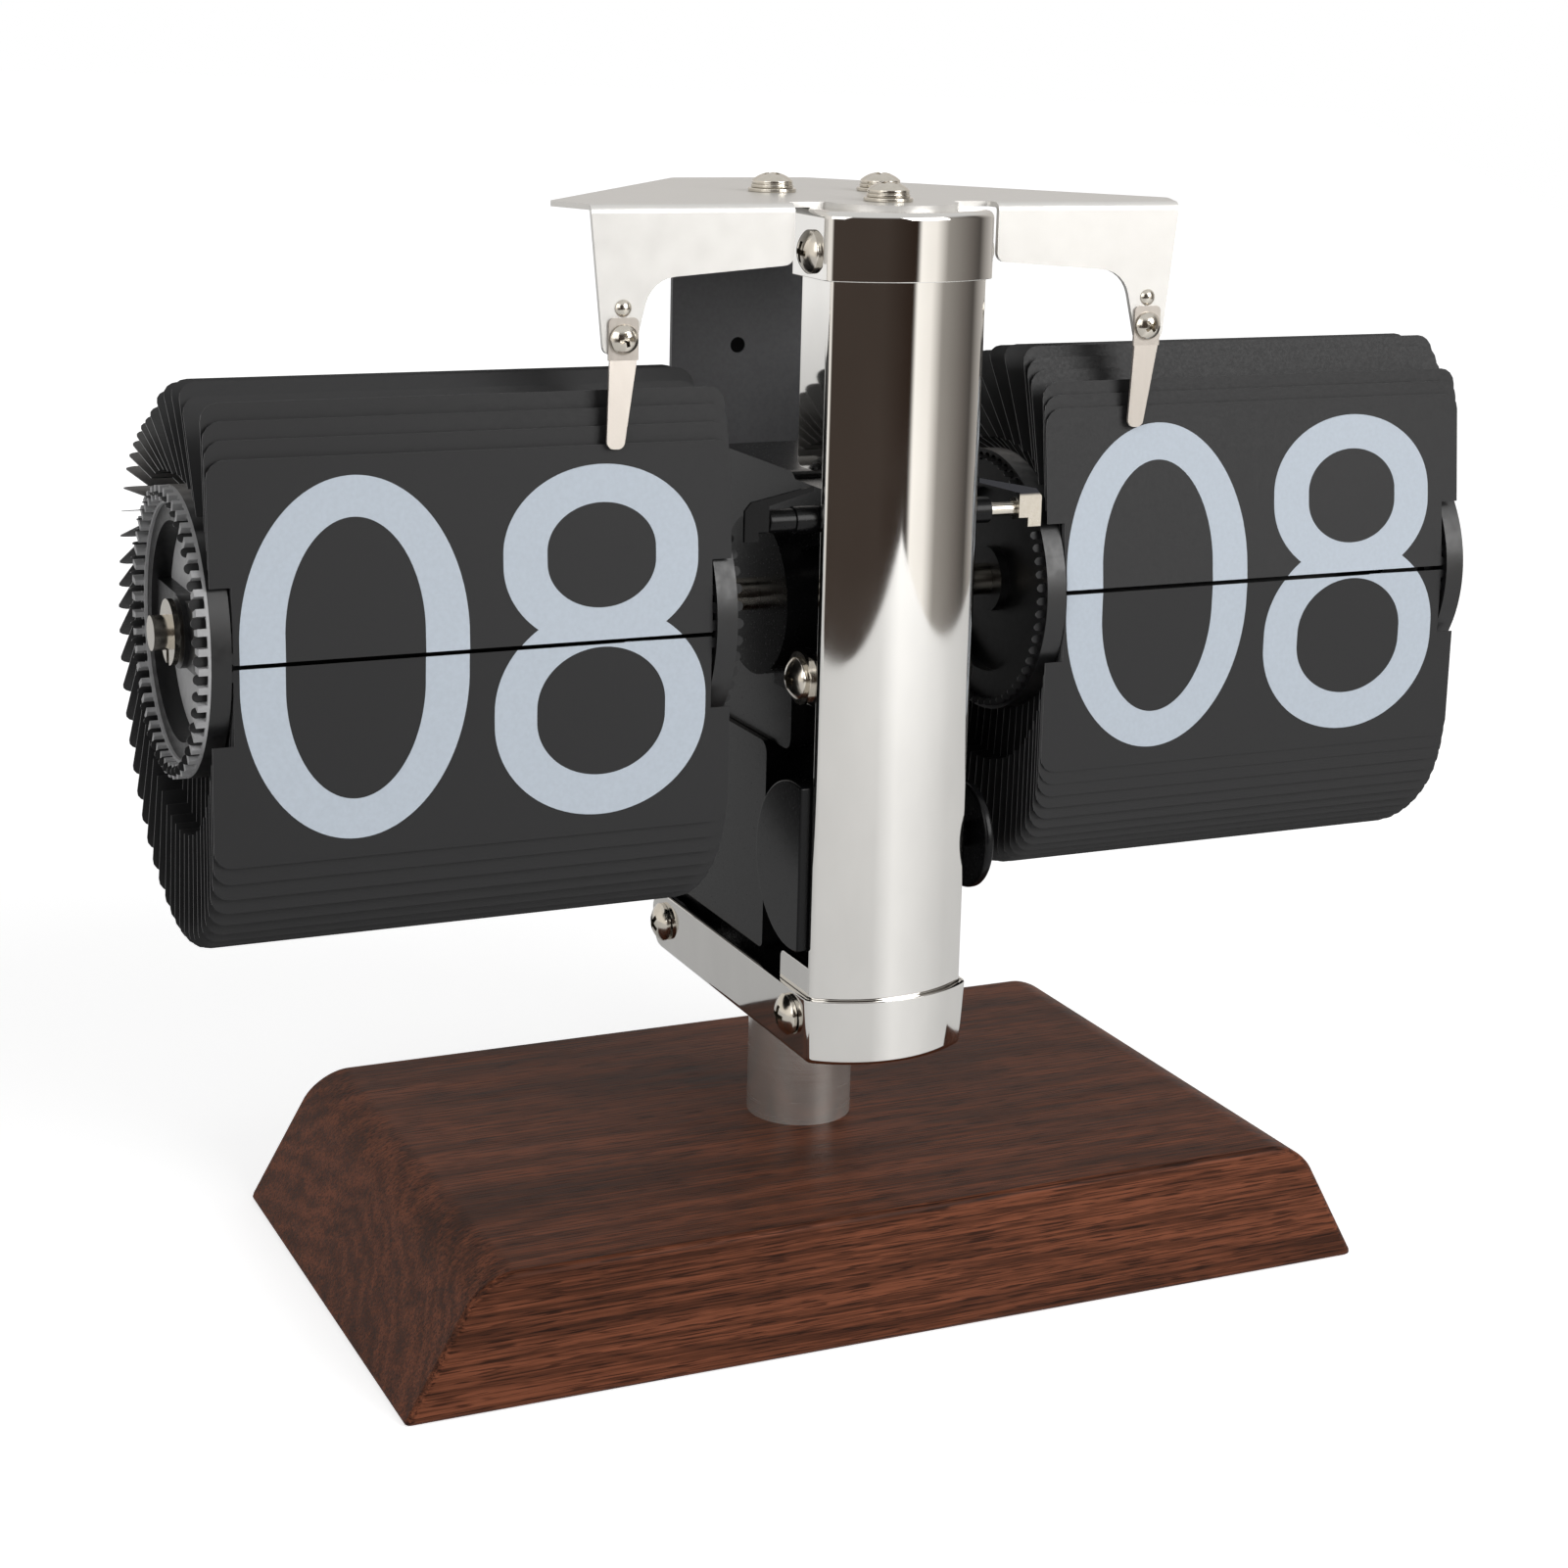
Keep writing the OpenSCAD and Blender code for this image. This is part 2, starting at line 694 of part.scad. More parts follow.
module outer_wheel(count, phase) {
    at_axle() difference() {
        union() {
            along_x(wall_x, rim_x) holed_ring(rim_in, count, phase);
            along_x(wall_x - 2, wall_x) difference() {
                circle(rim_in + 1.8);
                circle(rim_in);
            }
            bar_x(wall_x - 2, outer_x + hub_gap, hub_r);
            translate([wall_x, -rim_in - 0.5, -arm_h / 2]) cube([2, 2 * rim_in + 1, arm_h]);
        }
        bar_x(wall_x - 3, outer_x + 3, bore_r);
    }
}

module crown(count, phase) {
    at_axle() {
        along_x(rim_x, rim_x + crown_base) holed_ring(pivot_r - 1.3, count, phase);
        along_x(rim_x + crown_base, rim_x + crown_w) toothed_ring(pivot_r - 0.9, count, phase);
    }
}

// Plain ring that closes the tab holes
module cover() {
    at_axle() along_x(rim_x, rim_x + cover_w) difference() {
        circle(rim_r - 0.3);
        circle(rim_in + 0.4);
    }
}

module web() {
    at_axle() difference() {
        bar_x(wall_x - 1, wall_x, rim_in - running);
        bar_x(wall_x - 2, wall_x + 1, hub_r + running);
    }
}

module inner_wheel(count, phase) {
    to = band_x + band_w;
    at_axle() difference() {
        union() {
            along_x(band_x, to) holed_ring(rim_in - 1, count, phase);
            bar_x(to - 1.4, to, rim_in - 0.5);
            bar_x(band_x + 0.4, to, hub_r);
        }
        bar_x(band_x - 1, to + 1, bore_r);
    }
}

module sleeve() {
    at_axle() difference() {
        bar_x(band_x + band_w, wall_x - 2, hub_r - 0.6);
        bar_x(band_x, outer_x, bore_r);
    }
}

module hour_side(shade) {
    color(shade) mirror([1, 0, 0]) children();
}

module hour_outer_wheel() {
    hour_side("#1d1d1e") outer_wheel(hour_count, hour_phase);
}

module hour_crown() {
    hour_side("#7d7d7d") crown(hour_count, hour_phase);
}

module hour_web() {
    hour_side("#7d7d7d") web();
}

module hour_inner_wheel() {
    hour_side("#1d1d1e") inner_wheel(hour_count, hour_phase);
}

module hour_sleeve() {
    hour_side("#1d1d1e") sleeve();
}

module hour_upper_cards() {
    hour_side("#3a3a3b") cards(hour_count, hour_phase, hour_lean, hour_tip, 0, upper_hours);
}

module hour_rear_cards() {
    hour_side("#3a3a3b") cards(hour_count, hour_phase, hour_lean, hour_tip, upper_hours + 1, rear_hours);
}

module hour_lower_cards() {
    hour_side("#3a3a3b") cards(hour_count, hour_phase, hour_lean, hour_tip, rear_hours + 1, hour_count - 2);
}

module hour_leaf() {
    hour_side("#3a3a3b") leaf(hour_count, hour_phase, hour_tip);
}

module minute_outer_wheel() {
    color("#1d1d1e") outer_wheel(minute_count, minute_phase);
}

module minute_cover() {
    color("#1d1d1e") cover();
}

module minute_web() {
    color("#7d7d7d") web();
}

module minute_inner_wheel() {
    color("#1d1d1e") inner_wheel(minute_count, minute_phase);
}

module minute_sleeve() {
    color("#1d1d1e") sleeve();
}

module minute_upper_cards() {
    color("#3a3a3b") cards(minute_count, minute_phase, minute_lean, minute_tip, 0, upper_minutes);
}

module minute_rear_cards() {
    color("#3a3a3b")
        cards(minute_count, minute_phase, minute_lean, minute_tip, upper_minutes + 1, rear_minutes);
}

module minute_lower_cards() {
    color("#3a3a3b")
        cards(minute_count, minute_phase, minute_lean, minute_tip, rear_minutes + 1, minute_count - 2);
}

module minute_leaf() {
    color("#3a3a3b") leaf(minute_count, minute_phase, minute_tip);
}

wood_base();
base_bolt();
post();
post_screw();
tray();
column();
cap();
top_plate();
back_plate();
hour_clip();
minute_clip();
plate_screws();
tray_screws();
cap_screws();
clip_screws();
side_screws();
side_washers();
gear_case();
battery_box();
motor_case();
setting_wheel();
axle();
axle_rings();
lever_rods();
lever_pins();
hour_lever();
minute_lever();
hour_outer_wheel();
hour_crown();
hour_web();
hour_inner_wheel();
hour_sleeve();
hour_upper_cards();
hour_rear_cards();
hour_lower_cards();
hour_leaf();
minute_outer_wheel();
minute_cover();
minute_web();
minute_inner_wheel();
minute_sleeve();
minute_upper_cards();
minute_rear_cards();
minute_lower_cards();
minute_leaf();
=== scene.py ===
"""Looks of the flip clock: finishes, printed numbers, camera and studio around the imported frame."""
import json
from math import atan2, cos, hypot, pi, radians, sin, sqrt, tan

import bpy
from bpy.props import FloatProperty, FloatVectorProperty, PointerProperty, StringProperty
from mathutils import Matrix, Vector


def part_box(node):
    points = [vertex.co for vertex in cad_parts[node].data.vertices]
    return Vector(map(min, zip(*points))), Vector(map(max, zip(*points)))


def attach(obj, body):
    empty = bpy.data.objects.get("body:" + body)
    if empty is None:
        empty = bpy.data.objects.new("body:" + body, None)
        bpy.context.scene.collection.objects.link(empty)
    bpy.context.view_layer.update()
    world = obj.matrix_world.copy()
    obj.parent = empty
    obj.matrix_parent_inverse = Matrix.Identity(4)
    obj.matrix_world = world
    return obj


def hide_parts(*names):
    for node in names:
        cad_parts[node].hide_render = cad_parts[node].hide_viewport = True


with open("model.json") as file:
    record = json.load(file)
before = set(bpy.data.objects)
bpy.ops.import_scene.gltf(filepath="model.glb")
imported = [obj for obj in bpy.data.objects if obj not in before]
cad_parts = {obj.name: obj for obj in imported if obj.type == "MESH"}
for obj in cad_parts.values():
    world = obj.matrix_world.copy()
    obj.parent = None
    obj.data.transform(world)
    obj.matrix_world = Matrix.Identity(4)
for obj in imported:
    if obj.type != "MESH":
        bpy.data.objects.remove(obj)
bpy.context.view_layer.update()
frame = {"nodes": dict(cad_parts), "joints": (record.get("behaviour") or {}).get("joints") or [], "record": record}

bl_info = {
    "name": "Flip clock",
    "version": (1, 0, 0),
    "blender": (4, 5, 0),
    "location": "View3D > Sidebar > Flip clock",
    "description": "Finishes, numbers and studio of a desk flip clock",
    "category": "Object",
}

MM = 0.001
JOINTS = {joint["name"]: joint for joint in frame["joints"]}
# Most values of a noise lie in this range.
NOISE_LOW, NOISE_HIGH = 0.3, 0.7
# Places nearer than this are one place.
NEAR = 1e-6
# Share of a screw head's height that is domed.
DOME_SHARE = 0.68
# A head's cross recess: half length and half width as shares of its radius, its floor as a share of the head's height,
# and how much it narrows to its floor.
RECESS_LONG, RECESS_WIDE, RECESS_FLOOR, RECESS_TAPER = 0.62, 0.16, 0.3, 0.7
# Screws on the top plate: x and y in millimetres and the turn of the cross in radians.
TOP_SCREWS = ((0, -22.3, 0.5), (-9.1, -1.2, 0.2), (9.1, -1.2, 0.9))
# Screws on each side wall: y and z in millimetres.
TRAY_SCREWS, CAP_SCREWS, EAR_SCREWS = ((-24.4, 46.8), (26.0, 46.1)), ((-25.5, 162.3),), ((-24.3, 99.2),)
# Ovals of the numerals in millimetres: height of the middle above the split, half width, half height and half length
# of the straight sides.
ZERO_RING, ZERO_HOLE = (0, 16.25, 25.4, 2.6), (0, 9.9, 19.7, 3.4)
EIGHT_RINGS = ((12.4, 14.7, 13.0, 0.8), (-10.0, 16.05, 15.3, 0.9))
EIGHT_HOLES = ((12.5, 8.2, 7.5, 0.8), (-10.05, 9.75, 9.35, 0.9))
# The numeral 7 in millimetres: half width, half height, thickness of the bar and the leg, and the leg's lean.
SEVEN_HALF, SEVEN_HIGH, SEVEN_BAR, SEVEN_LEG, SEVEN_LEAN = 15, 25.4, 5.7, 6.6, 17.5


def hex_colour(name, description, default):
    """A colour written as an sRGB hex value."""
    return StringProperty(name=name, description=description, default=default, maxlen=7)


def length(name, description, millimetres):
    """A length, kept in metres as Blender does."""
    return FloatProperty(name=name, description=description, default=millimetres * MM, unit="LENGTH", precision=5)


class FlipClockFinishes(bpy.types.PropertyGroup):
    """Colours and grain sizes of the clock's materials"""
    wood_light: hex_colour("Wood, pale", "Early wood of the base", "#7C4832")
    wood_dark: hex_colour("Wood, dark", "Late wood and streaks of the base", "#3C2115")
    wood_mid: hex_colour("Wood, middle", "Common tone of the base", "#5A3322")
    ring_width: length("Ring width", "Distance between the wood's growth rings", 3.4)
    steel: hex_colour("Steel", "Polished stainless steel of the column, tray and cap", "#D9D7D3")
    satin: hex_colour("Satin steel", "Blasted stainless steel of the top plate", "#DEDCD8")
    # Painted shade: a darker copy of the satin steel, so that the clips read duller than the flange.
    leaf: hex_colour("Leaf steel", "Ground spring steel of the clips", "#B4ADA5")
    bar: hex_colour("Steel bar", "Turned steel of the post", "#D2CEC8")
    # Painted reflection: this dark colour stands in for the dark reflections on the lever's polished arm.
    arm_dark_reflection: hex_colour("Blued steel", "Blued spring steel of the minute lever", "#35363A")
    nickel: hex_colour("Nickel", "Nickel plating of the screws and the axle", "#CFC9BE")
    paint: hex_colour("Paint", "Black paint of the back plate", "#58585A")
    # Painted shade: the colour of the black disc that darkens the hole in the back plate.
    hole_shade: hex_colour("Rubber", "Plug in the back plate", "#050505")
    case: hex_colour("Case", "Black plastic of the mechanism", "#0D0D0E")
    wheel: hex_colour("Wheel", "Black plastic of the drum wheels", "#101011")
    # Painted reflection: the crown and the webs are black plastic, drawn grey for the glancing sheen on their
    # left-facing faces.
    crown: hex_colour("Crown", "Grey plastic of the toothed crown", "#A2A2A3")
    web: hex_colour("Web", "Grey plastic of the webs inside the wheels", "#B2B2B3")
    card: hex_colour("Card", "Plastic sheet of the cards", "#1C1C1D")
    # Painted highlight: this pale colour on the cards' cut edges stands in for the light that catches them.
    card_edge_highlight: hex_colour("Card edge", "Cut edges of the cards", "#868687")
    ink: hex_colour("Ink", "Printed numbers", "#B6BFC9")


class FlipClockShapes(bpy.types.PropertyGroup):
    """Sizes of the pieces that are modelled over the frame"""
    base_length: length("Base length", "Length of the wooden base along its foot", 160.6)
    base_top: length("Base top", "Length of the base's flat top", 137)
    base_end_radius: length("Base ends", "Rounding of the two end top edges", 9)
    base_edge: length("Base edges", "Softening of the other edges", 1.1)
    bow_radius: length("Bow", "Radius of the column's bowed front", 21.72)
    edge_radius: length("Column edges", "Rounding of the column's two edges", 1.3)
    column_sheet: length("Column sheet", "Thickness of the column", 1.0)
    column_wall: length("Column walls", "Height of the side walls at the column's head", 37)
    wall_short: length("Column walls' back", "How much shallower those walls are than the foot tabs", 1.6)
    sheet: length("Sheet", "Thickness of the tray and the cap", 0.8)
    fillet: length("Fillet", "Rounding along the bottom of the tray and the top of the cap", 1.1)
    tray_end: length("Tray ends", "Rounding of the tray's back corners", 4.5)
    rim: length("Rim", "Broken edges of the metal sheet", 0.14)
    column_lip: length("Column lips", "From the column's front to the back of its rounded edges", 5.07)
    foot_tab: length("Foot tabs", "Height of the tabs at the column's foot", 14)
    tab_corner: length("Tab corners", "Rounding of the tabs' back corners", 1.2)
    ear: length("Ears", "Half height of the ears with the middle screws", 3.6)
    tray_draft: length("Tray draft", "How much narrower the tray is at its bottom", 0.5)
    # Painted shade: a black disc set inside the back plate's hole so that the hole reads dark.
    shade_disc: length("Plug", "Radius of the plug in the back plate", 1.27)
    shade_disc_down: length("Plug's place", "From the back plate's top down to the plug", 26.4)
    shade_disc_in: length("Plug's depth", "From the back plate's back to the middle of the plug", 0.62)
    sleeve: length("Sleeve", "Radius of the sleeve over the hour side's pin", 1.75)
    sleeve_length: length("Sleeve length", "Length of that sleeve", 4.4)
    sleeve_out: length("Sleeve out", "From the rod's end to the middle of that sleeve", 2.1)
    motor_rim: length("Motor rim", "Rounding of the motor case", 1.0)
    motor_more: length("Motor", "How much larger the round case is than the frame's half height", 0.5)
    motor_back: length("Motor's place", "From the flat front to the middle of the round case", 2.8)
    motor_down: length("Motor's height", "How far the round case lies below the frame's middle", 1.3)
    thumb_wheel: length("Thumb wheel", "Radius of the wheel that sets the time", 8.4)
    thumb_out: length("Thumb wheel out", "How far the wheel stands out beyond the frame's disc", 2.2)
    thumb_thick: length("Thumb wheel thickness", "Thickness of that wheel", 1.5)
    thumb_rim: length("Thumb wheel rim", "Rounding of that wheel's rim", 0.5)
    thumb_shaft: length("Thumb wheel shaft", "Radius of that wheel's shaft", 2)


class FlipClockScrews(bpy.types.PropertyGroup):
    """Sizes of the screw heads, rings and rivets"""
    top: length("Top screws", "Radius of the heads on the top plate", 3.05)
    top_height: length("Top screw height", "Height of the heads on the top plate", 1.75)
    washer: length("Washers", "Radius of the washers under the top screws", 3.65)
    washer_height: length("Washer height", "Thickness of those washers", 0.6)
    spring: length("Spring rings", "Radius of the spring rings on those washers", 3.2)
    spring_top: length("Spring ring top", "From the plate to the top of a spring ring", 1.15)
    side: length("Side screws", "Radius of the heads on the side walls", 3.1)
    side_height: length("Side screw height", "Height of the heads on the side walls", 2.0)
    small: length("Clip screws", "Radius of the heads on the clips", 2.05)
    small_height: length("Clip screw height", "Height of the heads on the clips", 1.4)
    small_in: length("Clip screw's place", "From the outer end of the frame's screws to the middle of a head", 1.7)
    small_seat: length("Clip screw's seat", "From the back of the frame's screws to the clip's face", 2)
    rivet: length("Rivets", "Radius of the rivets above the clips", 1.15)
    rivet_height: length("Rivet height", "Height of those rivets", 0.75)
    rivet_up: length("Rivet's place", "From a clip screw up to its rivet", 4.3)
    rivet_seat: length("Rivet's seat", "How far a rivet's seat lies behind a clip screw's", 0.42)


class FlipClockNumbers(bpy.types.PropertyGroup):
    """Sizes of the printed numbers, measured from the split and from the middle of a card"""
    hour_lean: FloatProperty(name="Hour card lean", description="Backward lean of the front upper hour card",
                             default=radians(3.528), subtype="ANGLE")
    minute_lean: FloatProperty(name="Minute card lean", description="Backward lean of the front upper minute card",
                               default=radians(6.347), subtype="ANGLE")
    slit: length("Slit", "Gap between the upper and the lower card", 0.65)
    card_thickness: length("Card thickness", "Thickness of a card", 0.13)
    set_forward: length("Set forward", "How far a front card stands ahead of its pivot", 0.2)
    ink_height: length("Ink height", "How far the ink stands proud of the card", 0.03)
    zero_at: length("Zero's place", "Middle of the first numeral from the middle of the card", -17.6)
    second_at: length("Second place", "Middle of the second numeral from the middle of the card", 18.4)


class FlipClockStage(bpy.types.PropertyGroup):
    """Camera, floor and light"""
    azimuth: FloatProperty(name="Azimuth", description="Camera's turn to the left of the clock's front",
                           default=radians(-24.74), subtype="ANGLE")
    elevation: FloatProperty(name="Elevation", description="Camera's angle above the desk", default=radians(12.095),
                             subtype="ANGLE")
    roll: FloatProperty(name="Roll", description="Turn of the picture about its middle", default=radians(1.461),
                        subtype="ANGLE")
    target: FloatVectorProperty(name="Target", description="Point that the camera looks at",
                                default=(-2.495 * MM, 4.824 * MM, 100.443 * MM), subtype="TRANSLATION")
    distance: length("Distance", "From the target to the camera", 462.356)
    lens: FloatProperty(name="Lens", description="Focal length on a sensor 36 mm wide", default=66.87)
    shift_y: FloatProperty(name="Shift", description="Vertical shift of the picture", default=-0.101)
    table_left: length("Table, left edge", "From the clock to the table's front left edge", 486)
    table_right: length("Table, right edge", "From the clock to the table's front right edge", 517)
    table_turn: FloatProperty(name="Table turn", description="Turn of the table to the left", default=radians(-30.9),
                              subtype="ANGLE")
    table_reach: length("Table reach", "How far the table goes on behind the clock", 6000)
    table_thick: length("Table thickness", "Thickness of the table top", 20)
    table_gap: length("Table gap", "How far the table top lies below the clock's foot", 0.05)
    table: hex_colour("Table", "White table top", "#EFEFEF")
    glow_seen: FloatProperty(name="Seen glow", description="Keeps the table white for the eye", default=0.64)
    glow_far: FloatProperty(name="Far glow", description="Keeps the far end of the table white", default=0.86)
    # Painted reflection: the glow that only polished metal sees on the table.
    glow_reflected: FloatProperty(name="Reflected glow", description="Keeps the table pale in polished metal",
                                  default=0.2)
    glow_window: FloatProperty(name="Window glow", description="Bright strip that a window leaves on the table",
                               default=0.3)
    room_dark: hex_colour("Dark room", "What polished metal shows to the left of the clock", "#3E3631")
    room_level: FloatProperty(name="Room level", description="Brightness of the reflected room", default=1.4)
    dome: FloatProperty(name="Dome", description="Even light from all around", default=0.28)
    key: FloatProperty(name="Key", description="Power of the large lamp at the front right", default=9.3)
    key_place: FloatVectorProperty(name="Key's place", description="Middle of that lamp", default=(0.55, -0.95, 0.58),
                                   subtype="TRANSLATION")
    key_size: length("Key's size", "Side of that lamp", 700)
    fill: FloatProperty(name="Fill", description="Power of the lamp at the left", default=3.8)
    fill_place: FloatVectorProperty(name="Fill's place", description="Middle of that lamp", default=(-0.9, -0.7, 0.6),
                                    subtype="TRANSLATION")
    fill_size: length("Fill's size", "Side of that lamp", 800)


class FlipClockSettings(bpy.types.PropertyGroup):
    """All settings of the clock"""
    finishes: PointerProperty(type=FlipClockFinishes)
    shapes: PointerProperty(type=FlipClockShapes)
    screws: PointerProperty(type=FlipClockScrews)
    numbers: PointerProperty(type=FlipClockNumbers)
    stage: PointerProperty(type=FlipClockStage)


def linear(code):
    """Linear RGBA of an sRGB hex value."""
    parts = [int(code[i:i + 2], 16) / 255 for i in (1, 3, 5)]
    return tuple(c / 12.92 if c <= 0.04045 else ((c + 0.055) / 1.055) ** 2.4 for c in parts) + (1.0,)


def put(tree, kind, inputs=None, stops=(), **settings):
    """Adds a node with its settings, fills or links its inputs, and sets a ramp's (place, hex colour) stops."""
    node = tree.nodes.new(kind)
    for name, value in settings.items():
        setattr(node, name, value)
    for name, value in (inputs or {}).items():
        if isinstance(value, bpy.types.NodeSocket):
            tree.links.new(value, node.inputs[name])
        else:
            node.inputs[name].default_value = value
    if stops:
        elements = node.color_ramp.elements
        while len(elements) < len(stops):
            elements.new(1.0)
        for element, (place, code) in zip(elements, stops):
            element.position = place
            element.color = linear(code)
    return node


def new_material(name, **sockets):
    """Material with a Principled shader whose constant sockets are set directly."""
    material = bpy.data.materials.new(name)
    material.use_nodes = True
    tree = material.node_tree
    shader = tree.nodes["Principled BSDF"]
    for socket, value in sockets.items():
        shader.inputs[socket.replace("_", " ")].default_value = value
    return material, tree, shader


def per_grain(sizes):
    """Scale that makes one unit of a noise as long as a grain of the given sizes in millimetres."""
    return [1 / (size * MM) for size in sizes]


def mottled(name, code, grain, tone, gloss, bump=None, second=None, detail=3.0, **sockets):
    """Material whose colour, gloss and relief waver together with one noise.

    The grain is the noise's size in millimetres along X, Y and Z. The tone and the gloss are ranges of brightness and
    roughness, and the bump is a depth in millimetres with its strength. The second is a colour and a function that
    gives the share of it."""
    material, tree, shader = new_material(name, **sockets)
    place = put(tree, "ShaderNodeTexCoord").outputs["Object"]
    sized = put(tree, "ShaderNodeMapping", {"Vector": place, "Scale": per_grain(grain)}).outputs["Vector"]
    noise = put(tree, "ShaderNodeTexNoise", {"Vector": sized, "Scale": 1.0, "Detail": detail}).outputs["Fac"]
    value, roughness = [
        put(tree, "ShaderNodeMapRange", {"Value": noise, "From Min": NOISE_LOW, "From Max": NOISE_HIGH, "To Min": low,
                                         "To Max": high}).outputs["Result"] for low, high in (tone, gloss)]
    colour = put(tree, "ShaderNodeHueSaturation", {"Color": linear(code), "Value": value}).outputs["Color"]
    if second:
        other, share = second
        colour = put(tree, "ShaderNodeMix", {"Factor": share(tree, place), "A": colour, "B": linear(other)},
                     data_type="RGBA").outputs["Result"]
    tree.links.new(colour, shader.inputs["Base Color"])
    tree.links.new(roughness, shader.inputs["Roughness"])
    if bump:
        depth, strength = bump
        relief = put(tree, "ShaderNodeBump", {"Height": noise, "Distance": depth * MM, "Strength": strength})
        tree.links.new(relief.outputs["Normal"], shader.inputs["Normal"])
    return material


def walnut(finishes):
    """Walnut, planed and oiled: dark streaks along the base, short pores, curved rings on the ends."""
    material, tree, shader = new_material("Walnut_planed_and_oiled", IOR=1.45, Specular_IOR_Level=0.12)
    place = put(tree, "ShaderNodeTexCoord").outputs["Object"]
    noises = {}
    # Pores and fibres are drawn a little coarser than real ones, so that they show.
    for part, grain, detail, rough in (("wander", (120, 20, 20), 2.0, 0.5), ("bands", (150, 9, 9), 3.0, 0.6),
                                       ("fibres", (30, 0.5, 0.5), 4.0, 0.65), ("pores", (7, 0.3, 0.3), 1.0, 0.5)):
        sized = put(tree, "ShaderNodeMapping", {"Vector": place, "Scale": per_grain(grain)}).outputs["Vector"]
        noises[part] = put(tree, "ShaderNodeTexNoise", {"Vector": sized, "Scale": 1.0, "Detail": detail,
                                                        "Roughness": rough}).outputs
    # The log's heart lies below the base and behind its middle.
    heart = put(tree, "ShaderNodeVectorMath", {0: place, 1: (0.0, -18 * MM, 46 * MM)}, operation="ADD")
    bent = put(tree, "ShaderNodeVectorMath", {0: noises["wander"]["Color"], 1: (16 * MM,) * 3, 2: heart.outputs[0]},
               operation="MULTIPLY_ADD")
    # One turn of the wave texture is 0.314 units, so this scale gives rings of the set width.
    rings = put(tree, "ShaderNodeTexWave", {"Vector": bent.outputs[0], "Scale": 0.314 / finishes.ring_width,
                                            "Distortion": 3.0, "Detail": 3.0, "Detail Scale": 1.2},
                wave_type="RINGS", rings_direction="X").outputs["Fac"]
    fibres = noises["fibres"]["Fac"]
    figure = put(tree, "ShaderNodeMath", {0: rings, 1: 0.12, 2: fibres}, operation="MULTIPLY_ADD").outputs[0]
    figure = put(tree, "ShaderNodeMath", {0: noises["bands"]["Fac"], 1: 0.5, 2: figure}, operation="MULTIPLY_ADD")
    colour = put(tree, "ShaderNodeValToRGB", {"Fac": figure.outputs[0]}, [
        (0.64, finishes.wood_dark), (0.81, finishes.wood_mid), (0.97, finishes.wood_light)])
    pores = put(tree, "ShaderNodeMapRange", {"Value": noises["pores"]["Fac"], "From Min": 0.38, "From Max": 0.45,
                                             "To Min": 0.38, "To Max": 1.0}).outputs["Result"]
    wood = put(tree, "ShaderNodeHueSaturation", {"Color": colour.outputs["Color"], "Value": pores})
    gloss = put(tree, "ShaderNodeMapRange", {"Value": fibres, "From Min": NOISE_LOW, "From Max": NOISE_HIGH,
                                             "To Min": 0.42, "To Max": 0.58})
    relief = put(tree, "ShaderNodeBump", {"Height": pores, "Distance": 0.05 * MM, "Strength": 0.5})
    tree.links.new(wood.outputs["Color"], shader.inputs["Base Color"])
    tree.links.new(gloss.outputs["Result"], shader.inputs["Roughness"])
    tree.links.new(relief.outputs["Normal"], shader.inputs["Normal"])
    return material


def polished_steel(finishes):
    """Stainless sheet, mirror polished: a clear reflection, hardly softened by the buffing."""
    return mottled("Stainless_sheet_mirror_polished", finishes.steel, (6, 6, 14), (0.97, 1.02), (0.035, 0.07),
                   Metallic=1.0)


def satin_steel(finishes):
    """Stainless sheet, bead blasted and rolled: a pale silky glow without lines."""
    return mottled("Stainless_sheet_satin", finishes.satin, (3, 3, 3), (0.98, 1.01), (0.3, 0.38), detail=4.0,
                   Metallic=0.4, IOR=1.6)


def clip_steel_painted_shade(finishes):
    """Steel of the clips: the satin steel drawn darker and warmer, as painted shade that keeps the clips duller than
    the flange.
    """
    return mottled("Satin_steel_painted_shade", finishes.leaf, (0.6, 0.6, 8), (0.97, 1.02), (0.32, 0.42), Metallic=0.6,
                   IOR=1.6)


def turned_steel(finishes):
    """Steel bar, turned on a lathe: fine rings around the post, drawn coarse enough to show."""
    return mottled("Steel_bar_turned", finishes.bar, (40, 40, 0.3), (0.95, 1.04), (0.18, 0.28), (0.004, 0.4),
                   Metallic=0.75, Anisotropic=0.4)


def nickel_plate(finishes):
    """Steel, nickel plated: warm bright metal, slightly uneven."""
    return mottled("Steel_nickel_plated", finishes.nickel, (1.2, 1.2, 1.2), (0.93, 1.03), (0.12, 0.24), Metallic=1.0)


def black_paint(finishes):
    """Steel sheet, powder coated: half-matte black with a fine orange peel."""
    return mottled("Steel_sheet_powder_coated", finishes.paint, (0.7, 0.7, 0.7), (0.9, 1.1), (0.42, 0.55), (0.03, 0.5),
                   detail=2.0, IOR=1.5)


def moulded(name, code, sheen, grain, gloss):
    """Moulded plastic with a fine mould grain: its colour and gloss waver a little."""
    return mottled(name, code, (grain,) * 3, (0.92, 1.08), gloss, (0.004, 0.3), IOR=1.5, Specular_IOR_Level=sheen)


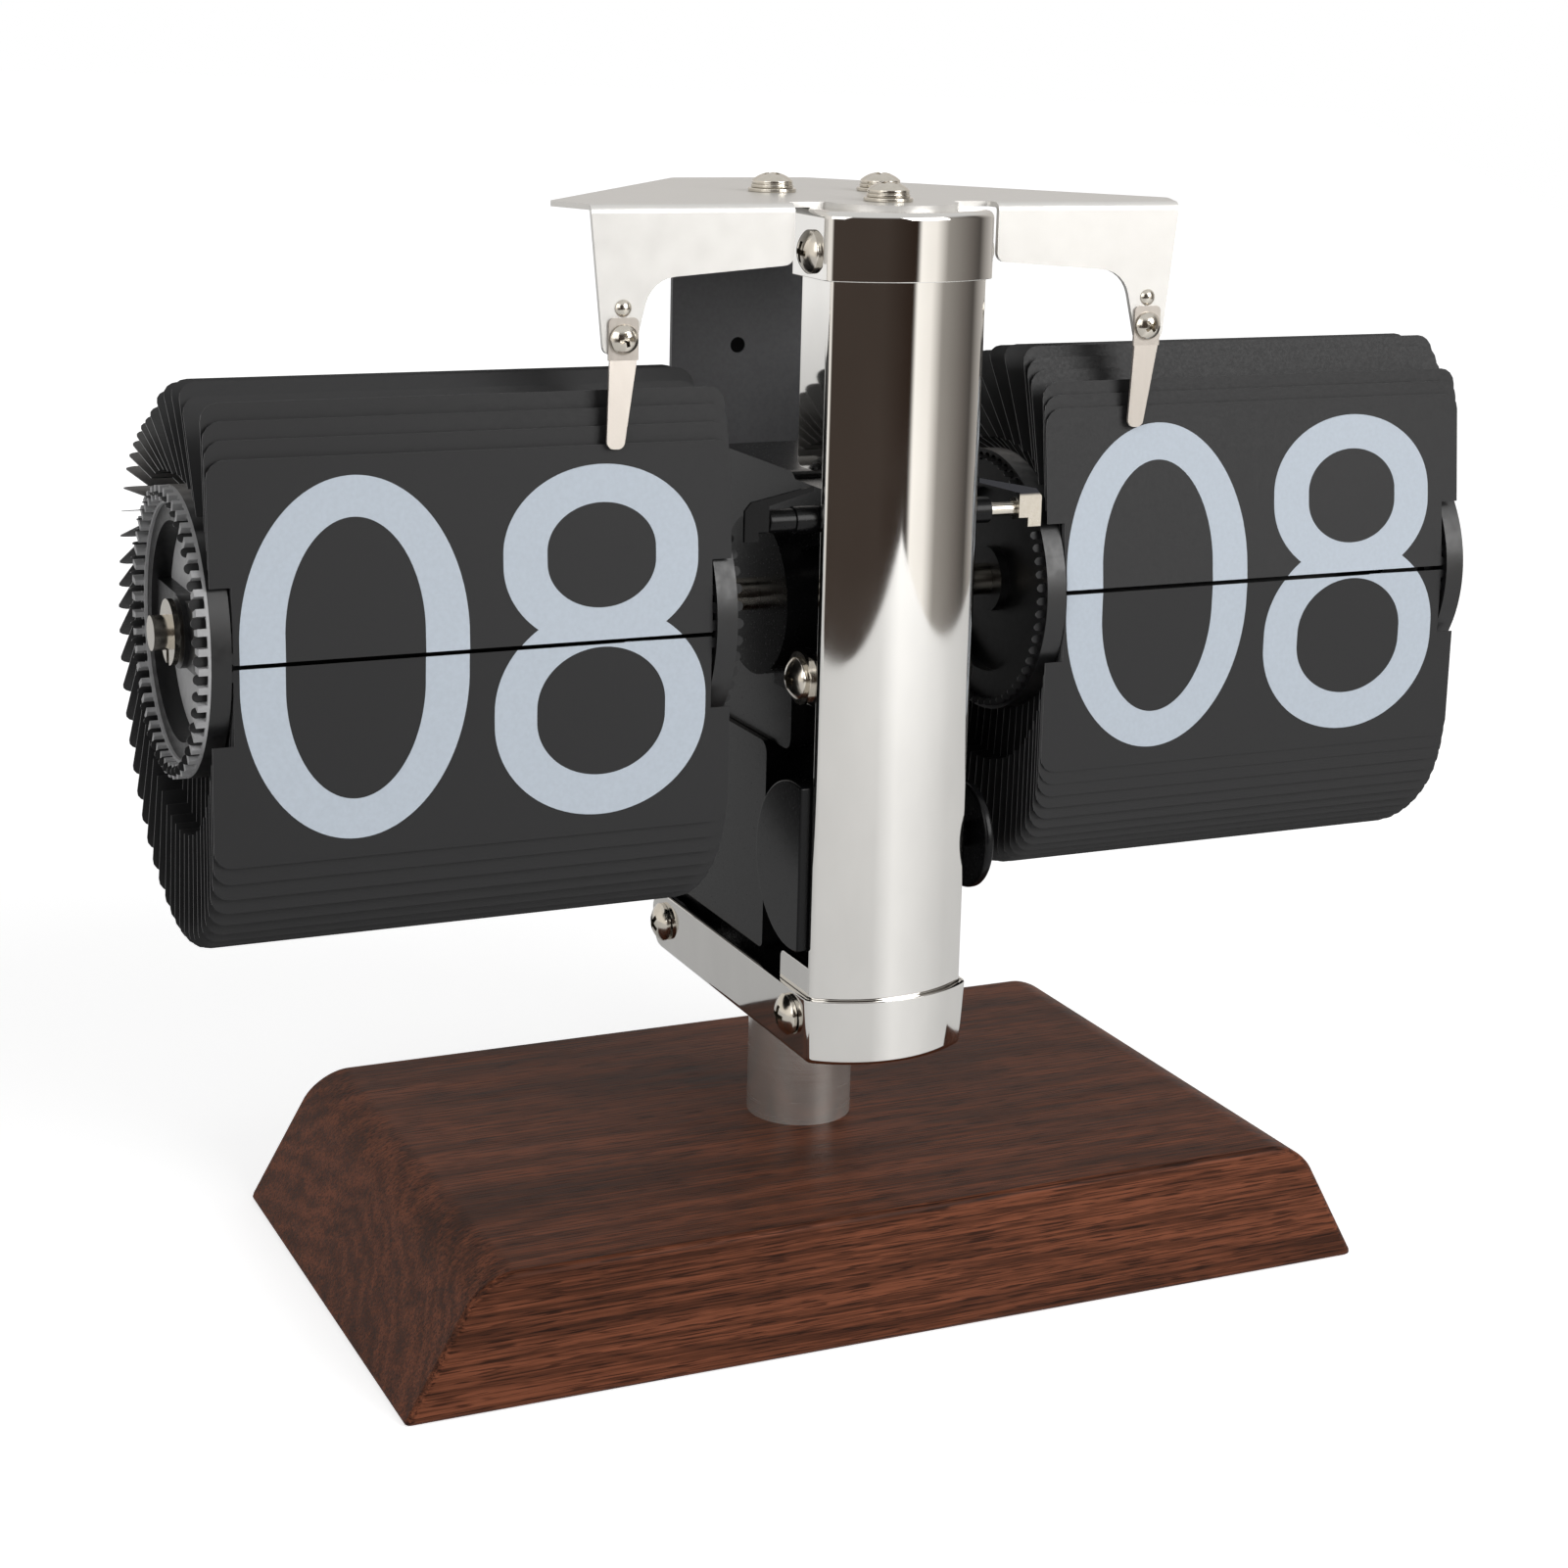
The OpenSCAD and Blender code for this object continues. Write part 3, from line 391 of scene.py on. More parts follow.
def card_sheet(finishes, name, upright):
    """PVC sheet, matte, punched: black faces, with a painted highlight on the cut edges at the sides and, on upright
    cards, at the top.
    """
    def painted_edge_highlight(tree, place):
        """Share of the painted edge highlight: faces that look sideways, and up in the front pack."""
        normal = put(tree, "ShaderNodeNewGeometry").outputs["True Normal"]
        facing = put(tree, "ShaderNodeSeparateXYZ", {"Vector": normal})
        edge_facing = put(tree, "ShaderNodeMath", {0: facing.outputs["X"]}, operation="ABSOLUTE").outputs[0]
        if upright:
            depth = put(tree, "ShaderNodeSeparateXYZ", {"Vector": place}).outputs["Y"]
            front = put(tree, "ShaderNodeMapRange", {"Value": depth, "From Min": -20 * MM, "From Max": -23 * MM})
            top = put(tree, "ShaderNodeMath", {0: facing.outputs["Z"], 1: front.outputs["Result"]},
                      operation="MULTIPLY")
            edge_facing = put(tree, "ShaderNodeMath", {0: edge_facing, 1: top.outputs[0]}, operation="MAXIMUM").outputs[0]
        return put(tree, "ShaderNodeMapRange", {"Value": edge_facing, "From Min": 0.9,
                                                "From Max": 0.97}).outputs["Result"]

    return mottled(name, finishes.card, (0.5, 0.5, 0.5), (0.92, 1.08), (0.5, 0.6), (0.004, 0.3),
                   (finishes.card_edge_highlight, painted_edge_highlight), IOR=1.5, Specular_IOR_Level=0.36)


def spring_steel_painted_reflection(finishes):
    """Spring steel with a bare bent end: its arm is painted dark for the dark reflections of polished metal, and the
    lip below the arm stays bright.
    """
    def arm(tree, place):
        """Share of the arm that is painted dark as a reflection, which ends a little above the rods' middle."""
        low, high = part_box("lever_rods")
        lip = (low.z + high.z) / 2 + 2.1 * MM
        up = put(tree, "ShaderNodeSeparateXYZ", {"Vector": place}).outputs["Z"]
        return put(tree, "ShaderNodeMapRange", {"Value": up, "From Min": lip,
                                                "From Max": lip + 0.4 * MM}).outputs["Result"]

    return mottled("Spring_steel_painted_dark_reflection", finishes.nickel, (1, 1, 1), (0.8, 0.9), (0.18, 0.28),
                   second=(finishes.arm_dark_reflection, arm), Metallic=1.0)


def printed_ink(finishes):
    """Screen-printed ink: an even pale blue-grey coat with a faint screen grain."""
    return mottled("Ink_screen_printed", finishes.ink, (0.6, 0.6, 0.6), (0.96, 1.03), (0.5, 0.62), IOR=1.5)


def dress(material, *names):
    """Gives CAD nodes a finish."""
    for name in names:
        node = frame["nodes"][name]
        if not node.material_slots:
            node.data.materials.append(material)
        for place in node.material_slots:
            place.material = material


def both(*names):
    """The names of the hour's and the minute's nodes."""
    return [f"{side}_{name}" for side in ("hour", "minute") for name in names]


def clear_selection():
    """Leaves edit mode and deselects everything."""
    if bpy.context.object and bpy.context.object.mode != "OBJECT":
        bpy.ops.object.mode_set(mode="OBJECT")
    bpy.ops.object.select_all(action="DESELECT")


def choose(piece):
    """Makes a piece the only selected and active object."""
    clear_selection()
    piece.select_set(True)
    bpy.context.view_layer.objects.active = piece


def settle(piece):
    """Puts the piece's place and scale into its mesh."""
    choose(piece)
    bpy.ops.object.transform_apply(location=True, rotation=True, scale=True)
    return piece


def modify(piece, kind, **settings):
    """Adds a modifier and applies it."""
    choose(piece)
    modifier = piece.modifiers.new(kind.title(), kind)
    for name, value in settings.items():
        setattr(modifier, name, value)
    bpy.ops.object.modifier_apply(modifier=modifier.name)


def pick_faces(piece, test):
    """Enters edit mode with only the faces selected that pass the test."""
    choose(piece)
    bpy.ops.object.mode_set(mode="EDIT")
    bpy.ops.mesh.select_mode(type="FACE")
    bpy.ops.mesh.select_all(action="DESELECT")
    bpy.ops.object.mode_set(mode="OBJECT")
    for face in piece.data.polygons:
        face.select = test(face)
    bpy.ops.object.mode_set(mode="EDIT")


def pick_edges(piece, test):
    """Enters edit mode with only the edges selected whose two ends pass the test."""
    choose(piece)
    bpy.ops.object.mode_set(mode="EDIT")
    bpy.ops.mesh.select_mode(type="EDGE")
    bpy.ops.mesh.select_all(action="DESELECT")
    bpy.ops.object.mode_set(mode="OBJECT")
    points = piece.data.vertices
    for edge in piece.data.edges:
        edge.select = test(*(points[i].co for i in edge.vertices))
    bpy.ops.object.mode_set(mode="EDIT")


def smooth(piece, angle=35):
    """Smooth shading except at edges sharper than the angle in degrees; large faces stay flat."""
    choose(piece)
    bpy.ops.object.shade_smooth_by_angle(angle=radians(angle))
    modify(piece, "WEIGHTED_NORMAL", weight=100, keep_sharp=True)


def soften(piece, width, segments=2, angle=50):
    """Rounds the edges that are sharper than the angle in degrees."""
    modify(piece, "BEVEL", width=width, segments=segments, limit_method="ANGLE", angle_limit=radians(angle))


def named(piece, name):
    """Gives an object and its mesh one name."""
    piece.name = piece.data.name = name
    return piece


def block(name, low, high):
    """Box between two corners."""
    clear_selection()
    low, high = Vector(low), Vector(high)
    bpy.ops.mesh.primitive_cube_add(size=1, location=(low + high) / 2)
    piece = named(bpy.context.object, name)
    piece.scale = high - low
    return settle(piece)


def disc(name, centre, radius, depth, axis="Z", corners=96):
    """Round disc along an axis, its middle at the centre."""
    clear_selection()
    turn = {"X": (0, pi / 2, 0), "Y": (pi / 2, 0, 0), "Z": (0, 0, 0)}[axis]
    bpy.ops.mesh.primitive_cylinder_add(vertices=corners, radius=radius, depth=depth, location=centre, rotation=turn)
    return settle(named(bpy.context.object, name))


def join(pieces):
    """Joins pieces into the first one."""
    clear_selection()
    for piece in pieces:
        piece.select_set(True)
    bpy.context.view_layer.objects.active = pieces[0]
    bpy.ops.object.join()
    return pieces[0]


def copies(master, name, places):
    """Copies of a piece at the given places, joined into one object; the piece is used up."""
    pieces = []
    for place in places:
        piece = master.copy()
        piece.data = master.data.copy()
        bpy.context.collection.objects.link(piece)
        piece.matrix_world = place
        pieces.append(settle(piece))
    bpy.data.objects.remove(master)
    return named(join(pieces), name)


def hand_over(piece, material, body, node):
    """Gives a finished piece its material and body and lets it stand for its node."""
    piece.data.materials.clear()
    piece.data.materials.append(material)
    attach(piece, body)
    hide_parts(node)


def add_on(piece, material, body):
    """Gives a piece that stands for no node its material, body and slot."""
    piece.data.materials.append(material)
    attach(piece, body)


def bowed_sheet(name, grow, back, profile, shapes):
    """Sheet swept along the bowed plan: right side, edge, front, edge, left side.

    The profile runs from bottom to top as (inward, height) points."""
    low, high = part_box("column")
    middle = low.y + shapes.bow_radius
    turn_x = high.x - shapes.edge_radius
    turn_y = middle - sqrt((shapes.bow_radius - shapes.edge_radius) ** 2 - turn_x ** 2)
    lean = atan2(middle - turn_y, turn_x)
    points = [Vector((high.x + grow - inward, back, height)) for inward, height in profile]
    clear_selection()
    bpy.ops.mesh.primitive_plane_add(size=MM)
    piece = named(bpy.context.object, name)
    bpy.ops.object.mode_set(mode="EDIT")
    bpy.ops.mesh.select_mode(type="VERT")
    bpy.ops.mesh.select_all(action="SELECT")
    bpy.ops.mesh.merge(type="CENTER")
    bpy.ops.transform.translate(value=points[0])
    for start, end in zip(points, points[1:]):
        bpy.ops.mesh.extrude_region_move(TRANSFORM_OT_translate={"value": end - start})
    bpy.ops.mesh.select_all(action="SELECT")
    bpy.ops.mesh.extrude_region_move(TRANSFORM_OT_translate={"value": (0, turn_y - back, 0)})
    bpy.ops.mesh.spin(steps=10, angle=lean, center=(turn_x, turn_y, 0), axis=(0, 0, 1))
    bpy.ops.mesh.spin(steps=60, angle=pi - 2 * lean, center=(0, middle, 0), axis=(0, 0, 1))
    bpy.ops.mesh.spin(steps=10, angle=lean, center=(-turn_x, turn_y, 0), axis=(0, 0, 1))
    bpy.ops.mesh.extrude_region_move(TRANSFORM_OT_translate={"value": (0, back - turn_y, 0)})
    bpy.ops.mesh.select_all(action="SELECT")
    bpy.ops.mesh.remove_doubles(threshold=NEAR)
    bpy.ops.object.mode_set(mode="OBJECT")
    return piece


def floored(piece, height, thickness, rim):
    """Closes a swept sheet at the given height and gives it its thickness inwards."""
    pick_edges(piece, lambda a, b: abs(a.z - height) + abs(b.z - height) < NEAR)
    bpy.ops.mesh.edge_face_add()
    thicken(piece, thickness, rim)


def thicken(piece, thickness, rim):
    """Gives a sheet its thickness inwards and breaks its edges."""
    choose(piece)
    bpy.ops.object.mode_set(mode="EDIT")
    bpy.ops.mesh.select_all(action="SELECT")
    bpy.ops.mesh.normals_make_consistent(inside=False)
    bpy.ops.object.mode_set(mode="OBJECT")
    modify(piece, "SOLIDIFY", thickness=thickness, offset=-1.0, use_even_offset=True)
    soften(piece, rim)


def fillet_points(radius, low, high, at_top):
    """Profile of an upright wall with a rounding at its top or its bottom."""
    bend = [(radius * (1 - cos(radians(a))), radius * sin(radians(a))) for a in range(0, 91, 15)]
    if at_top:
        return [(0, low)] + [(inward, high - radius + up) for inward, up in bend]
    return [(inward, low + radius - up) for inward, up in reversed(bend)] + [(0, high)]


def corner_tool(y, z, radius, down):
    """Cutter that rounds the back corner of side walls at the given height."""
    low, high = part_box("tray")
    span = high.x + 2 * MM
    edge = z - radius * down
    tool = block("corner", (-span, y - radius, min(z + down * MM, edge)), (span, y + MM, max(z + down * MM, edge)))
    return cut(tool, disc("round", (0, y - radius, edge), radius, 3 * span, "X"))


def oval(at, sizes, depth):
    """Upright disc in the X-Z plane: an ellipse with straight sides, of sizes as in the numerals' lists."""
    up, half_width, half_height, straight = (size * MM for size in sizes)
    clear_selection()
    bpy.ops.mesh.primitive_cylinder_add(vertices=128, radius=1.0, depth=1.0, rotation=(pi / 2, 0, 0))
    piece = settle(bpy.context.object)
    bpy.ops.transform.resize(value=(half_width, depth, half_height - straight))
    settle(piece)
    for sign in (1, -1):
        bpy.ops.object.mode_set(mode="EDIT")
        bpy.ops.mesh.select_all(action="DESELECT")
        bpy.ops.object.mode_set(mode="OBJECT")
        for vertex in piece.data.vertices:
            vertex.select = vertex.co.z * sign > 1e-7
        bpy.ops.object.mode_set(mode="EDIT")
        bpy.ops.transform.translate(value=(0, 0, sign * straight))
        bpy.ops.object.mode_set(mode="OBJECT")
    piece.location = (at, 0, up)
    return settle(piece)


def cut(piece, tool, operation="DIFFERENCE"):
    """Boolean of a piece with a tool that is used up."""
    modify(piece, "BOOLEAN", object=tool, operation=operation, solver="EXACT")
    bpy.data.objects.remove(tool)
    return piece


def zero(at, depth):
    """The numeral 0."""
    return cut(oval(at, ZERO_RING, depth), oval(at, ZERO_HOLE, 3 * depth))


def eight(at, depth):
    """The numeral 8: two rings that meet above the split."""
    figure, lower = (oval(at, ring, depth) for ring in EIGHT_RINGS)
    cut(figure, lower, "UNION")
    for hole in EIGHT_HOLES:
        cut(figure, oval(at, hole, 3 * depth))
    return figure


def seven(at, depth):
    """The numeral 7: a top bar and a leaning leg."""
    half, high, front = SEVEN_HALF * MM, SEVEN_HIGH * MM, depth / 2
    bar = block("seven", (at - half, -front, high - SEVEN_BAR * MM), (at + half, front, high))
    leg = block("leg", (at + half - SEVEN_LEG * MM, -front, -high), (at + half, front, high))
    pick_faces(leg, lambda face: face.normal.z < -0.9)
    bpy.ops.transform.translate(value=(-SEVEN_LEAN * MM, 0, 0))
    return cut(bar, leg, "UNION")


def half_of(figure, name, side, slit):
    """Copy of the half of a figure above (side 1) or below (side -1) the slit."""
    piece = figure.copy()
    piece.data = figure.data.copy()
    named(piece, name)
    bpy.context.collection.objects.link(piece)
    choose(piece)
    bpy.ops.object.mode_set(mode="EDIT")
    bpy.ops.mesh.select_all(action="SELECT")
    bpy.ops.mesh.bisect(plane_co=(0, 0, side * slit / 2), plane_no=(0, 0, side), use_fill=True, clear_inner=True)
    bpy.ops.object.mode_set(mode="OBJECT")
    return piece


class FlipClockOperator:
    """Base of the clock's operators."""
    bl_options = {"REGISTER", "UNDO"}

    @staticmethod
    def settings(context):
        return context.scene.flip_clock


class FLIPCLOCK_OT_wood(FlipClockOperator, bpy.types.Operator):
    """Model and finish the wooden base"""
    bl_idname = "flip_clock.wood"
    bl_label = "Wooden base"

    def execute(self, context):
        settings = self.settings(context)
        shapes = settings.shapes
        low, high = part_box("wood_base")
        half = shapes.base_length / 2
        base = block("base_wood", (-half, low.y, low.z), (half, high.y, high.z))
        pick_faces(base, lambda face: face.normal.z > 0.9)
        bpy.ops.transform.resize(value=(shapes.base_top / shapes.base_length, 1, 1))
        pick_edges(base, lambda a, b: min(a.z, b.z) > high.z - NEAR and abs(a.x - b.x) < NEAR)
        slope = atan2(high.z - low.z, half - shapes.base_top / 2)
        bpy.ops.mesh.bevel(offset=shapes.base_end_radius * tan(slope / 2), segments=16, profile=0.5)
        cut(base, disc("bolt_seat", (0, 0, low.z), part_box("base_bolt")[1].x + MM, 14 * MM))
        soften(base, shapes.base_edge, 4, 30)
        smooth(base)
        hand_over(base, walnut(settings.finishes), "stand", "wood_base")
        return {"FINISHED"}


class FLIPCLOCK_OT_stand(FlipClockOperator, bpy.types.Operator):
    """Model the polished tray, column and cap; finish the post, the top plate, its clips and the back plate"""
    bl_idname = "flip_clock.stand"
    bl_label = "Metal stand"

    def execute(self, context):
        settings = self.settings(context)
        finishes, shapes = settings.finishes, settings.shapes
        polish = polished_steel(finishes)
        for name, maker in (("tray", self.tray), ("cap", self.cap), ("column", self.column)):
            piece = maker(shapes)
            smooth(piece)
            hand_over(piece, polish, "stand", name)
        dress(turned_steel(finishes), "post")
        dress(satin_steel(finishes), "top_plate")
        dress(clip_steel_painted_shade(finishes), *both("clip"))
        dress(black_paint(finishes), "back_plate")
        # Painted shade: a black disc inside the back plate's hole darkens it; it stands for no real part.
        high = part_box("back_plate")[1]
        centre = (0, high.y - shapes.shade_disc_in, high.z - shapes.shade_disc_down)
        shade_disc = disc("hole_shade_disc", centre, shapes.shade_disc, 0.1 * MM, "Y", 48)
        soften(shade_disc, 0.03 * MM)
        smooth(shade_disc)
        add_on(shade_disc, moulded("Black_disc_painted_hole_shade", finishes.hole_shade, 0.1, 0.5, (0.7, 0.8)), "stand")
        return {"FINISHED"}

    @staticmethod
    def tray(shapes):
        """Tray with a bowed front, rounded along its bottom and at the back corners of its walls."""
        low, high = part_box("tray")
        grow = high.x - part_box("column")[1].x
        profile = [(inward + shapes.tray_draft * (high.z - z) / (high.z - low.z), z)
                   for inward, z in fillet_points(shapes.fillet, low.z, high.z, False)]
        tray = bowed_sheet("polished_tray", grow, high.y, profile, shapes)
        floored(tray, low.z, shapes.sheet, shapes.rim)
        for z, down in ((low.z, -1), (high.z, 1)):
            cut(tray, corner_tool(high.y, z, shapes.tray_end, down))
        return tray

    @staticmethod
    def cap(shapes):
        """Cap with a bowed front, rounded along its top."""
        low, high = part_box("cap")
        grow = high.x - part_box("column")[1].x
        cap = bowed_sheet("polished_cap", grow, high.y, fillet_points(shapes.fillet, low.z, high.z, True), shapes)
        floored(cap, high.z, shapes.sheet, shapes.rim)
        return cap

    @staticmethod
    def column(shapes):
        """Bowed column, open to the back, with tabs, walls and ears along its two edges."""
        low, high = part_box("column")
        lip = low.y + shapes.column_lip
        column = bowed_sheet("polished_column", 0, lip, [(0, low.z), (0, high.z)], shapes)
        thicken(column, shapes.column_sheet, shapes.rim)
        middle = (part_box("side_screws")[0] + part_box("side_screws")[1]) / 2
        ear, corner = shapes.ear, shapes.tab_corner
        # Bottom, top, back and corner of the foot tabs, the walls at the head and the round ears between them.
        tabs = ((low.z, low.z + shapes.foot_tab, high.y, corner),
                (high.z - shapes.column_wall, high.z, high.y - shapes.wall_short, corner),
                (middle.z - ear, middle.z + ear, middle.y + ear, 0.98 * ear))
        pieces = [column]
        for side in (-1, 1):
            outer = side * high.x
            inner = outer - side * shapes.column_sheet
            for bottom, top, back, radius in tabs:
                tab = block("tab", (min(inner, outer), lip - 0.1 * MM, bottom), (max(inner, outer), back, top))
                pick_edges(tab, lambda a, b: min(a.y, b.y) > back - NEAR and abs(a.z - b.z) < NEAR)
                bpy.ops.mesh.bevel(offset=radius, segments=8, profile=0.5)
                soften(tab, shapes.rim)
                pieces.append(tab)
        return join(pieces)


class FLIPCLOCK_OT_fasteners(FlipClockOperator, bpy.types.Operator):
    """Model the screws with their cross recesses and the rivets; finish the washers, axle and pins"""
    bl_idname = "flip_clock.fasteners"
    bl_label = "Plated small parts"

    def execute(self, context):
        settings = self.settings(context)
        screws, plate = settings.screws, nickel_plate(settings.finishes)
        dress(plate, *(part["node"] for part in frame["record"]["subparts"] if part["material_slot"] == "nickel"))
        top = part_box("top_plate")[1].z
        stack = join([self.head(screws.top, screws.top_height, screws.spring_top),
                      self.ring("washer", screws.washer, 0, screws.washer_height),
                      self.ring("spring", screws.spring, screws.washer_height, screws.spring_top)])
        spots = [Matrix.Translation((x * MM, y * MM, top)) @ Matrix.Rotation(turn, 4, "Z")
                 for x, y, turn in TOP_SCREWS]
        hand_over(copies(stack, "top_screws", spots), plate, "stand", "plate_screws")
        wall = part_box("tray")[1].x
        for node, places, x in (("tray_screws", TRAY_SCREWS, wall), ("cap_screws", CAP_SCREWS, wall),
                                ("side_screws", EAR_SCREWS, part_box("side_washers")[1].x)):
            self.side_heads(node, places, x, screws, plate)
        low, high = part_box("clip_screws")
        across, ahead, up = high.x - screws.small_in, high.y - screws.small_seat, (low.z + high.z) / 2
        spots = [Matrix.Translation((side * across, ahead, up)) @ Matrix.Rotation(pi / 2, 4, "X")
                 @ Matrix.Rotation(0.5 + side * 0.2, 4, "Z") for side in (-1, 1)]
        small = self.head(screws.small, screws.small_height, 0)
        hand_over(copies(small, "small_screws", spots), plate, "stand", "clip_screws")
        rivet = self.dome("rivet", screws.rivet, screws.rivet_height, 0)
        smooth(rivet)
        ahead, up = ahead + screws.rivet_seat, up + screws.rivet_up
        spots = [Matrix.Translation((side * across, ahead, up)) @ Matrix.Rotation(pi / 2, 4, "X") for side in (-1, 1)]
        add_on(copies(rivet, "clip_rivets", spots), plate, "stand")
        return {"FINISHED"}

    @staticmethod
    def ring(name, radius, low, high):
        """Flat ring under a screw head."""
        ring = disc(name, (0, 0, (low + high) / 2), radius, high - low, corners=64)
        soften(ring, 0.15 * MM)
        return ring

    @staticmethod
    def dome(name, radius, height, seat):
        """Round head with a domed top, facing up from its seat."""
        dome = DOME_SHARE * height
        ball = (radius ** 2 + dome ** 2) / (2 * dome)
        clear_selection()
        bpy.ops.mesh.primitive_uv_sphere_add(segments=64, ring_count=96, radius=ball,
                                             location=(0, 0, seat + height - ball))
        head = settle(named(bpy.context.object, name))
        pick_faces(head, lambda face: True)
        bpy.ops.mesh.bisect(plane_co=(0, 0, seat + height - dome), plane_no=(0, 0, 1), clear_inner=True, use_fill=True)
        bpy.ops.mesh.extrude_region_move(TRANSFORM_OT_translate={"value": (0, 0, dome - height)})
        bpy.ops.mesh.select_all(action="SELECT")
        bpy.ops.mesh.normals_make_consistent(inside=False)
        bpy.ops.object.mode_set(mode="OBJECT")
        soften(head, 0.06 * radius, 3, 35)
        return head

    def head(self, radius, height, seat):
        """Domed head with a cross recess, facing up from its seat."""
        head = self.dome("head", radius, height, seat)
        for x, y in ((RECESS_LONG, RECESS_WIDE), (RECESS_WIDE, RECESS_LONG)):
            tool = block("recess", (-x * radius, -y * radius, seat + RECESS_FLOOR * height),
                         (x * radius, y * radius, seat + 2 * height))
            pick_faces(tool, lambda face: face.normal.z < -0.9)
            bpy.ops.transform.resize(value=(RECESS_TAPER, RECESS_TAPER, 1))
            cut(head, tool)
        smooth(head)
        return head

    def side_heads(self, node, places, x, screws, plate):
        """Screws on both side walls at (y, z) places in millimetres, each cross turned a little differently."""
        head = self.head(screws.side, screws.side_height, 0)
        spots = [Matrix.Translation((side * x, y * MM, z * MM)) @ Matrix.Rotation(side * pi / 2, 4, "Y")
                 @ Matrix.Rotation(0.4 + 0.02 * y, 4, "Z") for side in (-1, 1) for y, z in places]
        hand_over(copies(head, node.replace("screws", "heads"), spots), plate, "stand", node)


class FLIPCLOCK_OT_mechanism(FlipClockOperator, bpy.types.Operator):
    """Model the rod's sleeve, the motor case and the thumb wheel; finish the black cases and the levers"""
    bl_idname = "flip_clock.mechanism"
    bl_label = "Mechanism"

    def execute(self, context):
        settings = self.settings(context)
        shapes, finishes = settings.shapes, settings.finishes
        case = moulded("ABS_moulded_gloss", finishes.case, 0.17, 0.5, (0.22, 0.28))
        dress(case, "gear_case", "battery_box", "lever_rods", "hour_lever")
        dress(spring_steel_painted_reflection(finishes), "minute_lever")
        add_on(self.sleeve(shapes), case, "stand")
        hand_over(self.motor(shapes), case, "stand", "motor_case")
        hand_over(self.thumb_wheel(shapes), case, "setting_wheel", "setting_wheel")
        return {"FINISHED"}

    @staticmethod
    def sleeve(shapes):
        """Sleeve over the pin at the hour side's rod."""
        low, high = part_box("lever_rods")
        centre = (low.x - shapes.sleeve_out, (low.y + high.y) / 2, (low.z + high.z) / 2)
        sleeve = disc("rod_sleeve", centre, shapes.sleeve, shapes.sleeve_length, "X", 64)
        soften(sleeve, 0.3 * MM, 3)
        smooth(sleeve)
        return sleeve

    @staticmethod
    def motor(shapes):
        """Round case with a flat front."""
        low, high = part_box("motor_case")
        radius = (high.z - low.z) / 2
        centre = ((low.x + high.x) / 2, low.y + shapes.motor_back, low.z + radius - shapes.motor_down)
        motor = disc("motor_shell", centre, radius + shapes.motor_more, high.x - low.x, "X", 160)
        pick_faces(motor, lambda face: True)
        bpy.ops.mesh.bisect(plane_co=(0, low.y, 0), plane_no=(0, -1, 0), use_fill=True, clear_outer=True)
        soften(motor, shapes.motor_rim, 6, 40)
        smooth(motor)
        return motor

    @staticmethod
    def thumb_wheel(shapes):
        """Wheel with its shaft, on the frame's own axis."""
        low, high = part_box("setting_wheel")
        radius = (high.z - low.z) / 2
        outer = high.x + shapes.thumb_out
        wheel = disc("thumb_wheel", (outer - shapes.thumb_thick / 2, low.y + radius, low.z + radius),
                     shapes.thumb_wheel, shapes.thumb_thick, "X", 160)
        soften(wheel, shapes.thumb_rim, 4, 40)
        shaft = disc("shaft", ((low.x + outer) / 2 - 0.5 * MM, low.y + radius, low.z + radius), shapes.thumb_shaft,
                     outer - low.x - MM, "X", 48)
        wheel = join([wheel, shaft])
        smooth(wheel)
        return wheel


class FLIPCLOCK_OT_drums(FlipClockOperator, bpy.types.Operator):
    """Finish the drum wheels, their crowns and webs, whose grey is painted reflection, and the cards"""
    bl_idname = "flip_clock.drums"
    bl_label = "Drums and cards"

    def execute(self, context):
        finishes = self.settings(context).finishes
        dress(moulded("ABS_moulded_half_gloss", finishes.wheel, 0.5, 1.2, (0.3, 0.42)),
              *both("outer_wheel", "inner_wheel", "sleeve"), "minute_cover")
        # Painted reflection: the black crown and webs are drawn grey for the sheen on their left-facing faces.
        dress(moulded("ABS_black_painted_grey_reflection", finishes.crown, 0.4, 0.8, (0.45, 0.6)), "hour_crown")
        dress(moulded("ABS_black_painted_pale_reflection", finishes.web, 0.4, 0.8, (0.45, 0.6)), *both("web"))
        dress(card_sheet(finishes, "PVC_sheet_matte_punched", False), *both("rear_cards", "lower_cards", "leaf"))
        dress(card_sheet(finishes, "PVC_sheet_matte_upright", True), *both("upper_cards"))
        return {"FINISHED"}


